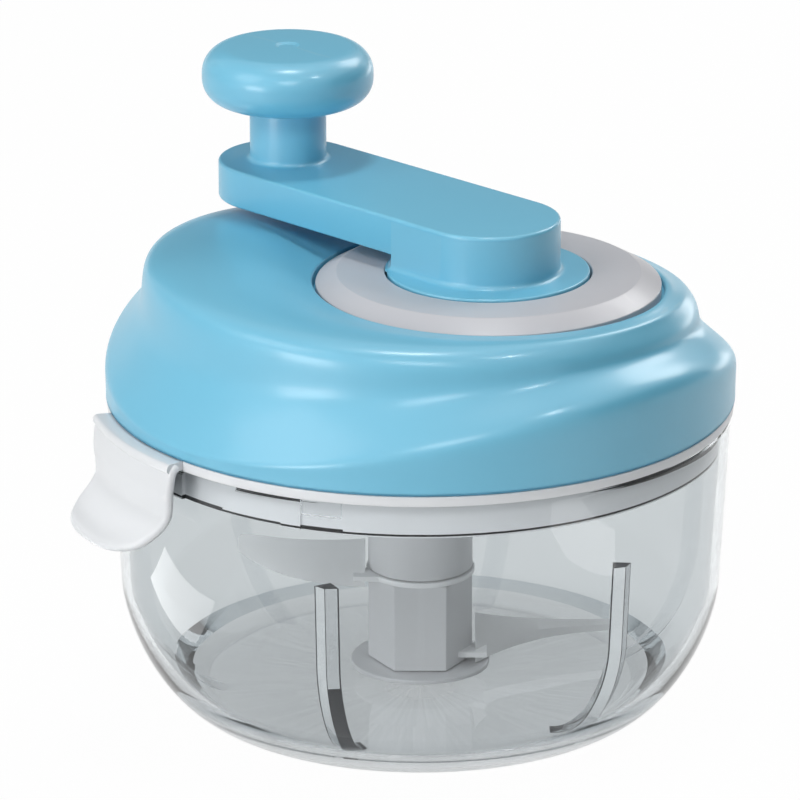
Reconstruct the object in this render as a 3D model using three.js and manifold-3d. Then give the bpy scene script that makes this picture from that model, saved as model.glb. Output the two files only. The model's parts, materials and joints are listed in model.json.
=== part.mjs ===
// Hand-crank food chopper: a clear bowl, a swirl-shaped lid with an off-centre crank, and a geared rotor
// with two blades. Millimetres, +Z up, origin at the centre of the bowl's flat underside.
import * as THREE from "three";
import { mergeVertices } from "three/addons/utils/BufferGeometryUtils.js";
import Module from "manifold-3d";

const wasm = await Module();
wasm.setup();

// Clearances shared by all pieces
const fitGap = 0.3; // between pieces that are fastened or seated together
const runGap = 0.4; // round a piece that turns
const cutOver = 2; // how far a cutter runs past the face that it cuts
const joinOver = 0.5; // how far two joined forms reach into each other
const roundSides = 48; // sides of a large round piece
const smallSides = 24; // sides of a small round piece

// Bowl
const bowlHeight = 73.9;
const bowlRimRadius = 74.4;
const bowlFlare = 2.2; // of the rim beyond the shoulder
const bowlShoulderHeight = 31.2;
const bowlFootInset = 19.7; // of the flat foot from the shoulder
const bowlCornerShare = 1.6; // power of the rounded corner between foot and wall
const bowlWall = 2.3;
const bowlFloor = 3.4;
const bowlRimRound = 0.7;
const cornerSteps = 7;
const ribCount = 6;
const ribAngle = 252;
const ribTopHeight = 51.6;
const ribWidth = 6;
const ribDepth = 4.6;
const ribSteps = 9;
const pinBossRadius = 5.4;
const pinBossHeight = 3.6; // above the bowl's floor

// Key inside the bowl's rim, which lines the lid up
const keyAngle = 251.5;
const keyHalfAngle = 3.9;
const keyDepth = 1.1;
const keyHeight = 4.3;

// Pin that the rotor turns on
const pinRadius = 3;
const pinSink = 1.9; // how deep it sits in the bowl's floor
const pinTopDrop = 4.6; // of its top below the column's hex socket
const pinNose = 1.4;

// Rotor
const columnRadius = 12.6;
const facetCount = 6;
const facetCornerRadius = 12.6;
const coreRadius = 7.7; // of the column where a blade's hub goes round it
const footRadius = 16.8;
const footHeelRadius = 9.6; // of its flat underside, from which it flares up to its rim
const footFlareRadius = 14;
const footFlareShare = 0.4; // of its height at the flare's middle
const footRimHeight = 1.2;
const footHeight = 3.6;
const footLift = 1.9; // running height of the foot above the bowl's floor
const socketDepth = 13.4;

// Blades: a flat hub in the column and one wing that rises to the back from its ground front edge
const bladeThickness = 1.3;
const bladeSteps = 10;
const edgeThickness = 0.25;
const grindShare = 0.4; // of the wing's width that is ground
const lugWidth = 6.5;
const lugReach = 3.5; // of the hub's lug beyond the column
const wingGap = 0.7; // from the column to the wing's root
const wingDrop = 1.4; // of the wing's front edge below its hub
const tipWidth = 2.5;
const upperBladeDrop = 7.6; // of the upper blade below the hex socket
const upperHubRadius = 13.1;
const upperWing = {
  side: -1,
  front: 8.4, // of the root's front edge before the axis
  kneeReach: 35,
  kneeBack: -6,
  tipInset: 7.9, // of the tip from the bowl's flat foot
  tipBack: 17,
  rootWidth: 14,
  taperShare: 0.5,
  incline: 32,
};
const lowerBladeLift = 1.7; // of the lower blade above the column's lower end
const lowerHubRadius = 9.5;
const lowerWing = {
  side: 1,
  front: 6,
  kneeReach: 27,
  kneeBack: 14,
  tipInset: 5.5,
  tipBack: 16,
  rootWidth: 13,
  taperShare: 2,
  incline: 42,
};

// Lid base: the band under the cover, the plug in the bowl and the bearing for the drive shaft
const bandOverhang = 0.5; // of the band beyond the bowl's rim
const bandHeight = 2.5;
const plugInset = 0.8; // of the plug from the bowl's inner wall
const plugWall = 2.2;
const plugDepth = 8.7; // below the band
const baseFloor = 2.2;
const baseFloorRise = 3.4; // of the floor above the plug's lower edge
const upstandHeight = 2;
const upstandGap = 2.9; // between the upstand and the cover's inner face
const bearingRadius = 9.6;
const bearingDrop = 2.9; // of the bearing's top below the ring gear
const slotStart = 219.5; // the shallow slot beside the lift tab
const slotEnd = 229;
const slotDepth = 0.9;
const sealInset = 2.5; // of the seal's groove from the bowl's rim
const sealWidth = 1.7;
const sealHeight = 1.1;

// Cover
const coverLap = 0.3; // of the cover's edge beyond the band
const coverWall = 2.2;
const deckHeight = 29.85; // of the flat round the trim ring, above the cover's edge
const shoulderInset = 9.8; // of the shoulder from the cover's edge
const shoulderDrop = 2.35; // of the shoulder's mean height below the deck
const shoulderTilt = 5.4;
const shoulderTiltAngle = 203;
const shoulderTwist = 1.35;
const shoulderTwistAngle = -37;
const shoulderRoll = 2.6; // crown of the deck above the shoulder
const crestInset = 2.3; // of the crest from the cover's edge
const crestMean = 11.2;
const crestTwist = 6.8;
const crestTwistAngle = -48;
const crestRound = 1.6;
const valleyFlare = 0.9;
const crownRiseShare = 2 / 3; // how far the deck has risen to its crown at the first third
const valleyTopShare = 0.6;
const valleyFootShare = 0.4;
const coverSides = 56;
const coverInnerSides = 36;
const coverSteps = 18;
const coverInnerSteps = 10;

// Gears
const ringPitchShare = 0.34575; // the ring gear's pitch radius in the cover's radius
const ringTeeth = 52;
const pinionTeeth = 16;
const pressureAngle = 20;
const backlash = 0.16; // taken off each flank
const addendumShare = 0.95;
const dedendumShare = 1.25;
const flankSteps = 2;
const gearRim = 2.6;
const gearWeb = 3;
const gearHeight = 10;
const crankAxisAngle = -27.3;

// Crank
const recessDepth = 2.85;
const trimShare = 0.5439; // the trim ring's radius in the cover's radius
const trimGap = 0.8;
const trimChamfer = 4.9;
const trimRise = 2.7; // of the ring's flat above the deck
const trimWidth = 16.9; // from the ring's rim to the flange in it
const flangeRise = 0.45; // above the ring's flat
const flangeGap = 0.5;
const hubInset = 1; // of the hub from the flange
const hubHeight = 3.55;
const armLength = 68.2;
const armHalfWidth = 17;
const armThickness = 9.3;
const armAngle = 135;
const armBevel = 1.1;
const armSegments = 12; // of each round end
const spigotRadius = 8;
const spigotHexWidth = 12;
const bushWall = 2.1;
const bushFlangeRadius = 13;
const bushFlange = 1.2;
const crankScrewRadius = 2;
const crankScrewHeadRadius = 4.4;
const crankScrewHead = 2.7;
const crankScrewLength = 14;
const washerRadius = 7.4;
const washerThickness = 1;

// Knob
const postRadius = 9.3;
const postHeight = 14;
const postFillet = 1.4;
const knobRadius = 20.8;
const knobHeight = 14;
const knobRound = 6.4;
const knobRoundSteps = 4;
const knobSides = 36;
const knobDimpleRadius = 2.4;
const knobDimple = 0.5;
const knobPinRadius = 2.6;
const knobPinSink = 12;
const knobPinRise = 8.4;
const knobBarb = 0.7;

// Drive shaft and its clip
const collarRadius = 12.6;
const collarHeight = 13.2;
const noseHexWidth = 12.4;
const journalRadius = 6;
const clipThickness = 0.9;
const clipGrooveDepth = 1;
const clipRadius = 8.6;
const clipOpening = 60; // degrees left open
const pinionHexWidth = 7;
const pinionSeat = 0.5; // shoulder between the clip groove and the pinion

// Screws that hold the cover on the base
const screwCount = 4;
const screwAngle = 35;
const screwInset = 13.3; // of the screws from the plug's outer face
const screwBossRadius = 4.2;
const screwBossHeight = 4.9;
const screwRadius = 1.6;
const screwHeadRadius = 3.1;
const screwHead = 2.2;
const screwSeat = 0.6; // of the head above the base's lower face
const screwLength = 14.5;

// Lift tab
const tabAngle = 207.7;
const tabHalfAngle = 15.5;
const tabRootHalfAngle = 14.9;
const tabReach = 3.5; // of the tab's upright beyond the band
const tabScoop = 10.4; // of the lip beyond the upright
const tabTopDrop = 2.4;
const tabWaistDrop = 14.4;
const tabDrop = 22.7;
const tabThickness = 2.3;
const tabCornerShare = 3; // power of the rounded lower corners
const tabLowestShare = 0.995; // where the last row across the lip lies
const tabAcross = 12;
const tabDown = 11;
const sectorSteps = 6;

// Radii worked out from the sizes above
const bowlShoulderRadius = bowlRimRadius - bowlFlare;
const bowlFootRadius = bowlShoulderRadius - bowlFootInset;
const bandRadius = bowlRimRadius + bandOverhang;
const plugRadius = bowlRimRadius - bowlWall - plugInset;
const sealGrooveRadius = bowlRimRadius - sealInset;
const screwCircle = plugRadius - screwInset;
const coverRadius = bandRadius + coverLap;
const shoulderRadius = coverRadius - shoulderInset;
const crestRadius = coverRadius - crestInset;
const tabShoulderRadius = bandRadius + tabReach;
const tabLipRadius = tabShoulderRadius + tabScoop;
const trimRadius = coverRadius * trimShare;
const flangeRadius = trimRadius - trimWidth;
const hubRadius = flangeRadius - hubInset;
const ringPitchRadius = coverRadius * ringPitchShare;
const pinionPitchRadius = (ringPitchRadius * pinionTeeth) / ringTeeth;
const gearModule = (2 * ringPitchRadius) / ringTeeth;
const gearCentre = ringPitchRadius - pinionPitchRadius;
const crankX = gearCentre * Math.cos(radians(crankAxisAngle));
const crankY = gearCentre * Math.sin(radians(crankAxisAngle));

// Heights worked out from the sizes above
const bandUnder = bowlHeight + fitGap;
const bandTop = bandUnder + bandHeight;
const edgeHeight = bandTop + fitGap; // the lower edge of the cover
const deckTop = edgeHeight + deckHeight;
const shoulderMean = deckHeight - shoulderDrop;
const recessFloor = deckTop - recessDepth;
const recessUnder = recessFloor - coverWall;
const trimTop = deckTop + trimRise;
const flangeTop = trimTop + flangeRise;
const armUnder = flangeTop + hubHeight;
const armTop = armUnder + armThickness;
const postTop = armTop + postHeight;
const knobUnder = postTop + fitGap;
const bushTop = recessFloor - fitGap;
const bushFlangeTop = recessUnder - fitGap;
const webTop = bushFlangeTop - bushFlange - fitGap;
const webUnder = webTop - gearWeb;
const gearUnder = webUnder - gearHeight;
const bearingTop = gearUnder - bearingDrop;
const plugUnder = bandUnder - plugDepth;
const baseUnder = plugUnder + baseFloorRise;
const baseTop = baseUnder + baseFloor;
const bearingUnder = plugUnder + fitGap;
const collarTop = bearingUnder - fitGap;
const collarUnder = collarTop - collarHeight;
const columnTop = collarUnder - fitGap;
const footUnder = bowlFloor + footLift;
const columnUnder = footUnder + footHeight;
const lowerBladeUnder = columnUnder + lowerBladeLift;
const socketUnder = columnTop - socketDepth;
const pinTop = socketUnder - pinTopDrop;
const upperBladeUnder = socketUnder - upperBladeDrop;

const materials = {
  blueGloss: new THREE.MeshStandardMaterial({ color: 0x74b0cb, roughness: 0.3, metalness: 0 }),
  whiteGloss: new THREE.MeshStandardMaterial({ color: 0xe2e5e7, roughness: 0.32, metalness: 0 }),
  trimGrey: new THREE.MeshStandardMaterial({ color: 0xc8cacf, roughness: 0.35, metalness: 0 }),
  clear: new THREE.MeshStandardMaterial({
    color: 0xe6ebee,
    roughness: 0.05,
    metalness: 0,
    transparent: true,
    opacity: 0.3,
  }),
  silicone: new THREE.MeshStandardMaterial({ color: 0xd9dbdc, roughness: 0.7, metalness: 0 }),
  rotorWhite: new THREE.MeshStandardMaterial({ color: 0xdadcde, roughness: 0.4, metalness: 0 }),
  steel: new THREE.MeshStandardMaterial({ color: 0xc3c6c9, roughness: 0.25, metalness: 1 }),
  acetal: new THREE.MeshStandardMaterial({ color: 0xeceae4, roughness: 0.5, metalness: 0 }),
};

function radians(degrees) {
  return (degrees * Math.PI) / 180;
}

function degreesOf(angle) {
  return (angle * 180) / Math.PI;
}

function lerp(from, to, share) {
  return from + (to - from) * share;
}

// A closed geometry as a solid that can be joined and cut
function solidOf(geometry) {
  const bare = geometry.clone();
  for (const name of Object.keys(bare.attributes)) {
    if (name !== "position") bare.deleteAttribute(name);
  }
  const merged = mergeVertices(bare);
  const corners = Array.from(merged.index.array);
  const triVerts = [];
  for (let i = 0; i < corners.length; i += 3) {
    const [a, b, c] = corners.slice(i, i + 3);
    if (a !== b && b !== c && c !== a) triVerts.push(a, b, c);
  }
  const vertProperties = new Float32Array(merged.attributes.position.array);
  const mesh = new wasm.Mesh({ numProp: 3, vertProperties, triVerts: new Uint32Array(triVerts) });
  return new wasm.Manifold(mesh);
}

function geometryOf(solid) {
  const mesh = solid.getMesh();
  const geometry = new THREE.BufferGeometry();
  geometry.setAttribute("position", new THREE.BufferAttribute(mesh.vertProperties, 3));
  geometry.setIndex(new THREE.BufferAttribute(mesh.triVerts, 1));
  geometry.computeVertexNormals();
  return geometry;
}

function namedMesh(name, solid, material) {
  const mesh = new THREE.Mesh(geometryOf(solid), material);
  mesh.name = name;
  return mesh;
}

// Revolves a closed profile of [radius, height] points round Z, whichever way round it is listed
function revolve(profile, sides = smallSides) {
  let area = 0;
  profile.forEach(([r, z], i) => {
    const [r2, z2] = profile[(i + 1) % profile.length];
    area += r * z2 - r2 * z;
  });
  const ordered = area > 0 ? profile : [...profile].reverse();
  const points = [...ordered, ordered[0]].map(([r, z]) => new THREE.Vector2(r, z));
  const geometry = new THREE.LatheGeometry(points, sides);
  geometry.rotateX(Math.PI / 2);
  return solidOf(geometry);
}

function disc(radius, low, high, sides = smallSides) {
  const profile = [
    [0, low],
    [radius, low],
    [radius, high],
    [0, high],
  ];
  return revolve(profile, sides);
}

function tube(inner, outer, low, high, sides = smallSides) {
  const profile = [
    [inner, low],
    [outer, low],
    [outer, high],
    [inner, high],
  ];
  return revolve(profile, sides);
}

function prism(shape, low, high) {
  const geometry = new THREE.ExtrudeGeometry(shape, { depth: high - low, bevelEnabled: false });
  geometry.translate(0, 0, low);
  return solidOf(geometry);
}

function polygonShape(sides, cornerRadius, turn = 0) {
  const shape = new THREE.Shape();
  for (let i = 0; i < sides; i += 1) {
    const angle = radians(turn) + (2 * Math.PI * i) / sides;
    const x = cornerRadius * Math.cos(angle);
    const y = cornerRadius * Math.sin(angle);
    if (i === 0) shape.moveTo(x, y);
    else shape.lineTo(x, y);
  }
  shape.closePath();
  return shape;
}

function hexPrism(acrossFlats, low, high) {
  const sides = 6;
  const cornerRadius = acrossFlats / 2 / Math.cos(Math.PI / sides);
  return prism(polygonShape(sides, cornerRadius), low, high);
}

// A closed body from a grid of points: each row is a closed loop, and the rows run along it either way
function loft(rows) {
  const around = rows[0].length;
  const positions = rows.flat().flatMap((p) => [p.x, p.y, p.z]);
  const index = [];
  for (let j = 0; j + 1 < rows.length; j += 1) {
    for (let i = 0; i < around; i += 1) {
      const a = j * around + i;
      const b = j * around + ((i + 1) % around);
      index.push(a, b, b + around, a, b + around, a + around);
    }
  }
  const last = (rows.length - 1) * around;
  for (let i = 1; i + 1 < around; i += 1) {
    index.push(0, i + 1, i, last, last + i, last + i + 1);
  }
  const geometry = new THREE.BufferGeometry();
  geometry.setAttribute("position", new THREE.Float32BufferAttribute(positions, 3));
  geometry.setIndex(index);
  const solid = solidOf(geometry);
  return solid.volume() > 0 ? solid : loft([...rows].reverse());
}

// A closed sheet from two grids of points, one for each face
function sheet(front, back) {
  const down = front.length;
  const across = front[0].length;
  const positions = [...front, ...back].flat().flatMap((p) => [p.x, p.y, p.z]);
  const at = (face, j, i) => (face * down + j) * across + i;
  const index = [];
  const quad = (a, b, c, d) => index.push(a, b, c, a, c, d);
  for (let j = 0; j + 1 < down; j += 1) {
    for (let i = 0; i + 1 < across; i += 1) {
      quad(at(0, j, i), at(0, j + 1, i), at(0, j + 1, i + 1), at(0, j, i + 1));
      quad(at(1, j, i), at(1, j, i + 1), at(1, j + 1, i + 1), at(1, j + 1, i));
    }
    quad(at(0, j, 0), at(1, j, 0), at(1, j + 1, 0), at(0, j + 1, 0));
    const end = across - 1;
    quad(at(0, j, end), at(0, j + 1, end), at(1, j + 1, end), at(1, j, end));
  }
  for (let i = 0; i + 1 < across; i += 1) {
    const low = down - 1;
    quad(at(0, 0, i), at(0, 0, i + 1), at(1, 0, i + 1), at(1, 0, i));
    quad(at(0, low, i), at(1, low, i), at(1, low, i + 1), at(0, low, i + 1));
  }
  const geometry = new THREE.BufferGeometry();
  geometry.setAttribute("position", new THREE.Float32BufferAttribute(positions, 3));
  geometry.setIndex(index);
  return solidOf(geometry);
}

function turned(solid, degrees) {
  return solid.rotate([0, 0, degrees]);
}

function onCrankAxis(solid) {
  return solid.translate([crankX, crankY, 0]);
}

// The bowl's wall: a superellipse from the foot to the shoulder, then a slight flare to the rim
function wallRadius(height, inset) {
  const shoulderZ = bowlShoulderHeight;
  const footR = bowlFootRadius - inset;
  const shoulderR = bowlShoulderRadius - inset;
  if (height >= shoulderZ) {
    return lerp(shoulderR, bowlRimRadius - inset, (height - shoulderZ) / (bowlHeight - shoulderZ));
  }
  const floorZ = inset > 0 ? bowlFloor : 0;
  const down = Math.min(1, Math.max(0, (shoulderZ - height) / (shoulderZ - floorZ)));
  return footR + (shoulderR - footR) * (1 - down ** bowlCornerShare) ** (1 / bowlCornerShare);
}

function wallProfile(inset) {
  const floorZ = inset > 0 ? bowlFloor : 0;
  const points = [[0, floorZ]];
  for (let i = 0; i <= cornerSteps; i += 1) {
    const share = 1 - Math.cos((i / cornerSteps) * (Math.PI / 2));
    const height = floorZ + (bowlShoulderHeight - floorZ) * share;
    points.push([wallRadius(height, inset), height]);
  }
  return points;
}

// One inner rib: a three-sided ridge that follows the wall down to the floor
function rib() {
  const rows = [];
  for (let i = 0; i <= ribSteps; i += 1) {
    const height = lerp(ribTopHeight, bowlFloor - joinOver, Math.sin((i / ribSteps) * (Math.PI / 2)));
    const outer = wallRadius(height, bowlWall) + joinOver;
    rows.push([
      new THREE.Vector3(outer, -ribWidth / 2, height),
      new THREE.Vector3(outer, ribWidth / 2, height),
      new THREE.Vector3(outer - joinOver - ribDepth, 0, height),
    ]);
  }
  return loft(rows);
}

function bowl() {
  const outer = wallProfile(0);
  const inner = wallProfile(bowlWall).reverse();
  const rim = [
    [bowlRimRadius, bowlHeight - bowlRimRound],
    [bowlRimRadius - bowlRimRound, bowlHeight],
    [bowlRimRadius - bowlWall + bowlRimRound, bowlHeight],
    [bowlRimRadius - bowlWall, bowlHeight - bowlRimRound],
  ];
  let body = revolve([...outer, ...rim, ...inner], roundSides);
  for (let i = 0; i < ribCount; i += 1) {
    body = body.add(turned(rib(), ribAngle + (360 / ribCount) * i));
  }
  body = body.add(disc(pinBossRadius, bowlFloor - joinOver, bowlFloor + pinBossHeight)).add(rimKey());
  const socket = disc(pinRadius + fitGap, bowlFloor - pinSink - fitGap, bowlFloor + pinBossHeight + cutOver);
  return body.subtract(socket);
}

function rimKey() {
  const face = bowlRimRadius - bowlWall - keyDepth;
  const back = bowlRimRadius - bowlWall / 2;
  const ring = tube(face, back, bowlHeight - keyHeight, bowlHeight - bowlRimRound, roundSides);
  const sector = sectorShape(keyAngle - keyHalfAngle, keyAngle + keyHalfAngle, coverRadius);
  return ring.intersect(prism(sector, bowlHeight - keyHeight - cutOver, bowlHeight + cutOver));
}

function centrePin() {
  return revolve([
    [0, bowlFloor - pinSink],
    [pinRadius, bowlFloor - pinSink],
    [pinRadius, pinTop - pinNose],
    [pinRadius - pinNose, pinTop],
    [0, pinTop],
  ]);
}

// The wing's front edge seen from above, bent at its knee, and its width from front to back
function wingPlace(wing, share) {
  const rest = 1 - share;
  const root = [columnRadius + wingGap, -wing.front];
  const tip = [bowlFootRadius - wing.tipInset, wing.tipBack];
  const middle = [wing.kneeReach, wing.kneeBack];
  const at = (k) => rest ** 2 * root[k] + 2 * share * rest * middle[k] + share ** 2 * tip[k];
  const [out, back] = [at(0), at(1)];
  return { out, back, width: tipWidth + (wing.rootWidth - tipWidth) * rest ** wing.taperShare };
}

// Each row crosses the wing: its flat lower face, then the back and the ground upper face
function wingSolid(wing, hubUnder) {
  const slope = radians(wing.incline);
  const rows = [];
  for (let i = 0; i <= bladeSteps; i += 1) {
    const { out, back, width } = wingPlace(wing, i / bladeSteps);
    const spot = (across, up) => {
      const y = back + across * Math.cos(slope) - up * Math.sin(slope);
      const z = hubUnder - wingDrop + across * Math.sin(slope) + up * Math.cos(slope);
      return new THREE.Vector3(wing.side * out, y, z);
    };
    const corners = [
      [0, 0],
      [width, 0],
      [width, bladeThickness],
      [width * grindShare, bladeThickness],
      [0, edgeThickness],
    ];
    rows.push(corners.map(([across, up]) => spot(across, up)));
  }
  return loft(rows);
}

function hubLug(wing, hubUnder, grow) {
  const near = coreRadius * wing.side;
  const far = (columnRadius + lugReach + grow) * wing.side;
  const shape = new THREE.Shape();
  shape.moveTo(near, -wing.front - grow);
  shape.lineTo(far, -wing.front - grow);
  shape.lineTo(far, lugWidth - wing.front + grow);
  shape.lineTo(near, lugWidth - wing.front + grow);
  shape.closePath();
  return prism(shape, hubUnder - grow, hubUnder + bladeThickness + grow);
}

function blade(wing, hubUnder, hubRadius) {
  const hub = disc(hubRadius, hubUnder, hubUnder + bladeThickness, roundSides);
  const bore = disc(coreRadius + fitGap, hubUnder - cutOver, hubUnder + bladeThickness + cutOver);
  return hub.add(hubLug(wing, hubUnder, 0)).subtract(bore).add(wingSolid(wing, hubUnder));
}

function bladeSlot(wing, hubUnder, hubRadius) {
  const ring = disc(hubRadius + fitGap, hubUnder - fitGap, hubUnder + bladeThickness + fitGap, roundSides);
  const core = disc(coreRadius, hubUnder - cutOver, hubUnder + bladeThickness + cutOver);
  return ring.add(hubLug(wing, hubUnder, fitGap)).subtract(core);
}

function bladeColumn() {
  const upper = disc(columnRadius, upperBladeUnder, columnTop, roundSides);
  const lower = prism(polygonShape(facetCount, facetCornerRadius), columnUnder, upperBladeUnder + joinOver);
  const bore = disc(pinRadius + runGap, columnUnder - cutOver, pinTop + fitGap);
  const socket = hexPrism(noseHexWidth + 2 * fitGap, socketUnder, columnTop + cutOver);
  return upper
    .add(lower)
    .subtract(bore)
    .subtract(socket)
    .subtract(bladeSlot(upperWing, upperBladeUnder, upperHubRadius))
    .subtract(bladeSlot(lowerWing, lowerBladeUnder, lowerHubRadius));
}

function columnFoot() {
  const bore = pinBossRadius + runGap;
  const top = columnUnder - fitGap;
  return revolve(
    [
      [bore, footUnder],
      [footHeelRadius, footUnder],
      [footFlareRadius, footUnder + footHeight * footFlareShare],
      [footRadius, top - footRimHeight],
      [footRadius, top],
      [bore, top],
    ],
    roundSides,
  );
}

function screwPlaces() {
  const places = [];
  for (let i = 0; i < screwCount; i += 1) {
    const angle = radians(screwAngle + (360 / screwCount) * i);
    places.push([screwCircle * Math.cos(angle), screwCircle * Math.sin(angle)]);
  }
  return places;
}

function lidBase() {
  const plugInner = plugRadius - plugWall;
  const upstandRadius = coverRadius - coverWall - upstandGap;
  const grooveOuter = sealGrooveRadius + sealWidth + fitGap;
  const grooveTop = bandUnder + sealHeight + fitGap;
  let body = revolve(
    [
      [journalRadius + runGap, bearingUnder],
      [bearingRadius, bearingUnder],
      [bearingRadius, baseUnder],
      [plugInner, baseUnder],
      [plugInner, plugUnder],
      [plugRadius, plugUnder],
      [plugRadius, bandUnder],
      [sealGrooveRadius, bandUnder],
      [sealGrooveRadius, grooveTop],
      [grooveOuter, grooveTop],
      [grooveOuter, bandUnder],
      [bandRadius, bandUnder],
      [bandRadius, bandTop],
      [upstandRadius, bandTop],
      [upstandRadius, bandTop + upstandHeight],
      [upstandRadius - plugWall, bandTop + upstandHeight],
      [upstandRadius - plugWall, bandTop],
      [plugInner, bandTop - plugWall],
      [plugInner, baseTop],
      [bearingRadius, baseTop],
      [bearingRadius, bearingTop],
      [journalRadius + runGap, bearingTop],
    ],
    roundSides,
  );
  for (const [x, y] of screwPlaces()) {
    body = body.add(disc(screwBossRadius, baseUnder, baseTop + screwBossHeight).translate([x, y, 0]));
    body = body.subtract(disc(screwRadius + fitGap, baseUnder - cutOver, edgeHeight).translate([x, y, 0]));
    const headTop = baseUnder + screwSeat + screwHead + fitGap;
    body = body.subtract(disc(screwHeadRadius + fitGap, baseUnder - cutOver, headTop).translate([x, y, 0]));
  }
  return body.subtract(tabNotch()).subtract(keyway()).subtract(sideSlot());
}

// A cut into the plug's outer face, as high as the plug
function plugCut(innerRadius, startDegrees, endDegrees) {
  const ring = tube(innerRadius, plugRadius + cutOver, plugUnder - cutOver, bandUnder, roundSides);
  const sector = sectorShape(startDegrees, endDegrees, coverRadius + cutOver);
  return ring.intersect(prism(sector, plugUnder - cutOver, bandUnder + cutOver));
}

function keyway() {
  const inner = bowlRimRadius - bowlWall - keyDepth - fitGap;
  const half = keyHalfAngle + degreesOf(fitGap / inner);
  return plugCut(inner, keyAngle - half, keyAngle + half);
}

function sideSlot() {
  return plugCut(plugRadius - slotDepth, slotStart, slotEnd);
}

function coverScrew() {
  const headUnder = baseUnder + screwSeat;
  return revolve([
    [0, headUnder],
    [screwHeadRadius, headUnder],
    [screwHeadRadius, headUnder + screwHead],
    [screwRadius, headUnder + screwHead],
    [screwRadius, headUnder + screwHead + screwLength - screwRadius],
    [0, headUnder + screwHead + screwLength],
  ]);
}

function lidSeal() {
  const inner = sealGrooveRadius + fitGap / 2;
  return tube(inner, inner + sealWidth, bandUnder, bandUnder + sealHeight, roundSides);
}

// The shoulder is tilted and slightly twisted, and the crest of the skirt rises and falls twice a turn
function shoulderHeight(angle) {
  const tilt = shoulderTilt * Math.cos(angle - radians(shoulderTiltAngle));
  return shoulderMean + tilt + shoulderTwist * Math.cos(2 * (angle - radians(shoulderTwistAngle)));
}

function crestHeight(angle) {
  return crestMean + crestTwist * Math.cos(2 * (angle - radians(crestTwistAngle)));
}

// How far the trim ring's recess reaches from the bowl's axis in a direction
function recessReach(angle) {
  const between = angle - radians(crankAxisAngle);
  const radius = trimRadius + trimGap;
  return gearCentre * Math.cos(between) + Math.sqrt(radius ** 2 - (gearCentre * Math.sin(between)) ** 2);
}

// Control points of the cover's outline in one direction: deck, shoulder, valley, crest and skirt
function coverControls(angle) {
  const shoulder = shoulderHeight(angle);
  const crest = crestHeight(angle);
  const reach = recessReach(angle);
  const outward = (share) => lerp(reach, shoulderRadius, share);
  const crown = shoulder + shoulderRoll;
  return [
    [0, deckHeight],
    [reach / 2, deckHeight],
    [reach, deckHeight],
    [outward(1 / 3), lerp(deckHeight, crown, crownRiseShare)],
    [outward(2 / 3), crown],
    [shoulderRadius - crestRound, shoulder + crestRound],
    [shoulderRadius + crestRound / 2, shoulder - crestRound],
    [shoulderRadius + valleyFlare, lerp(crest, shoulder, valleyTopShare)],
    [shoulderRadius + 3 * valleyFlare, lerp(crest, shoulder, valleyFootShare)],
    [crestRadius, crest + crestRound],
    [coverRadius + valleyFlare / 3, crest - crestRound],
    [coverRadius, crest / 2],
    [coverRadius, 0],
  ];
}

// A point of the uniform cubic B-spline through the controls, its ends held
function splinePoint(controls, share) {
  const held = [controls[0], controls[0], ...controls, controls.at(-1), controls.at(-1)];
  const spans = held.length - 3;
  const first = Math.min(Math.floor(share * spans), spans - 1);
  const t = share * spans - first;
  const weights = [(1 - t) ** 3, 3 * t ** 3 - 6 * t ** 2 + 4, -3 * t ** 3 + 3 * t ** 2 + 3 * t + 1, t ** 3];
  return [0, 1].map((k) => weights.reduce((sum, w, i) => sum + (w * held[first + i][k]) / 6, 0));
}

// The cover's form as a closed body, drawn in from its surface by inset and run down by extra
function coverForm(inset, sides, steps, extra) {
  const positions = [0, 0, edgeHeight + deckHeight - inset];
  for (let j = 1; j <= steps; j += 1) {
    for (let i = 0; i < sides; i += 1) {
      const angle = (2 * Math.PI * i) / sides;
      const [r, z] = splinePoint(coverControls(angle), j / steps);
      const height = j === steps ? -extra : Math.max(z - inset, 0);
      const radius = r - inset;
      positions.push(radius * Math.cos(angle), radius * Math.sin(angle), edgeHeight + height);
    }
  }
  positions.push(0, 0, edgeHeight - extra);
  const bottom = sides * steps + 1;
  const index = [];
  for (let i = 0; i < sides; i += 1) {
    const next = (i + 1) % sides;
    index.push(0, 1 + i, 1 + next);
    for (let j = 0; j + 1 < steps; j += 1) {
      const a = 1 + j * sides + i;
      const b = 1 + j * sides + next;
      index.push(a, a + sides, b, b, a + sides, b + sides);
    }
    index.push(bottom, bottom - sides + next, bottom - sides + i);
  }
  const geometry = new THREE.BufferGeometry();
  geometry.setAttribute("position", new THREE.Float32BufferAttribute(positions, 3));
  geometry.setIndex(index);
  return solidOf(geometry);
}

function lidCover() {
  const outer = coverForm(0, coverSides, coverSteps, 0);
  const inner = coverForm(coverWall, coverInnerSides, coverInnerSteps, cutOver);
  const above = armUnder;
  const cupRadius = trimRadius + trimGap + coverWall;
  const cup = onCrankAxis(disc(cupRadius, recessUnder, above, roundSides)).intersect(outer);
  const recess = onCrankAxis(disc(trimRadius + trimGap, recessFloor, above, roundSides));
  const hubHole = onCrankAxis(disc(spigotRadius + runGap + bushWall + fitGap, recessUnder - cutOver, above));
  let body = outer.subtract(inner).add(cup);
  const bossUnder = baseTop + screwBossHeight + fitGap;
  const holeTop = baseUnder + screwSeat + screwHead + screwLength + fitGap;
  for (const [x, y] of screwPlaces()) {
    const boss = disc(screwBossRadius, bossUnder, deckTop).translate([x, y, 0]);
    body = body.add(boss.intersect(bossSpace(outer)));
    body = body.subtract(disc(screwRadius + fitGap, bossUnder - cutOver, holeTop).translate([x, y, 0]));
  }
  return body.subtract(recess).subtract(hubHole);
}

// The space in which the cover's screw bosses may stand: the cover's own form and a little below its edge
function bossSpace(outer) {
  return outer.add(disc(plugRadius - plugWall, baseTop, edgeHeight + joinOver, roundSides));
}

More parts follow.
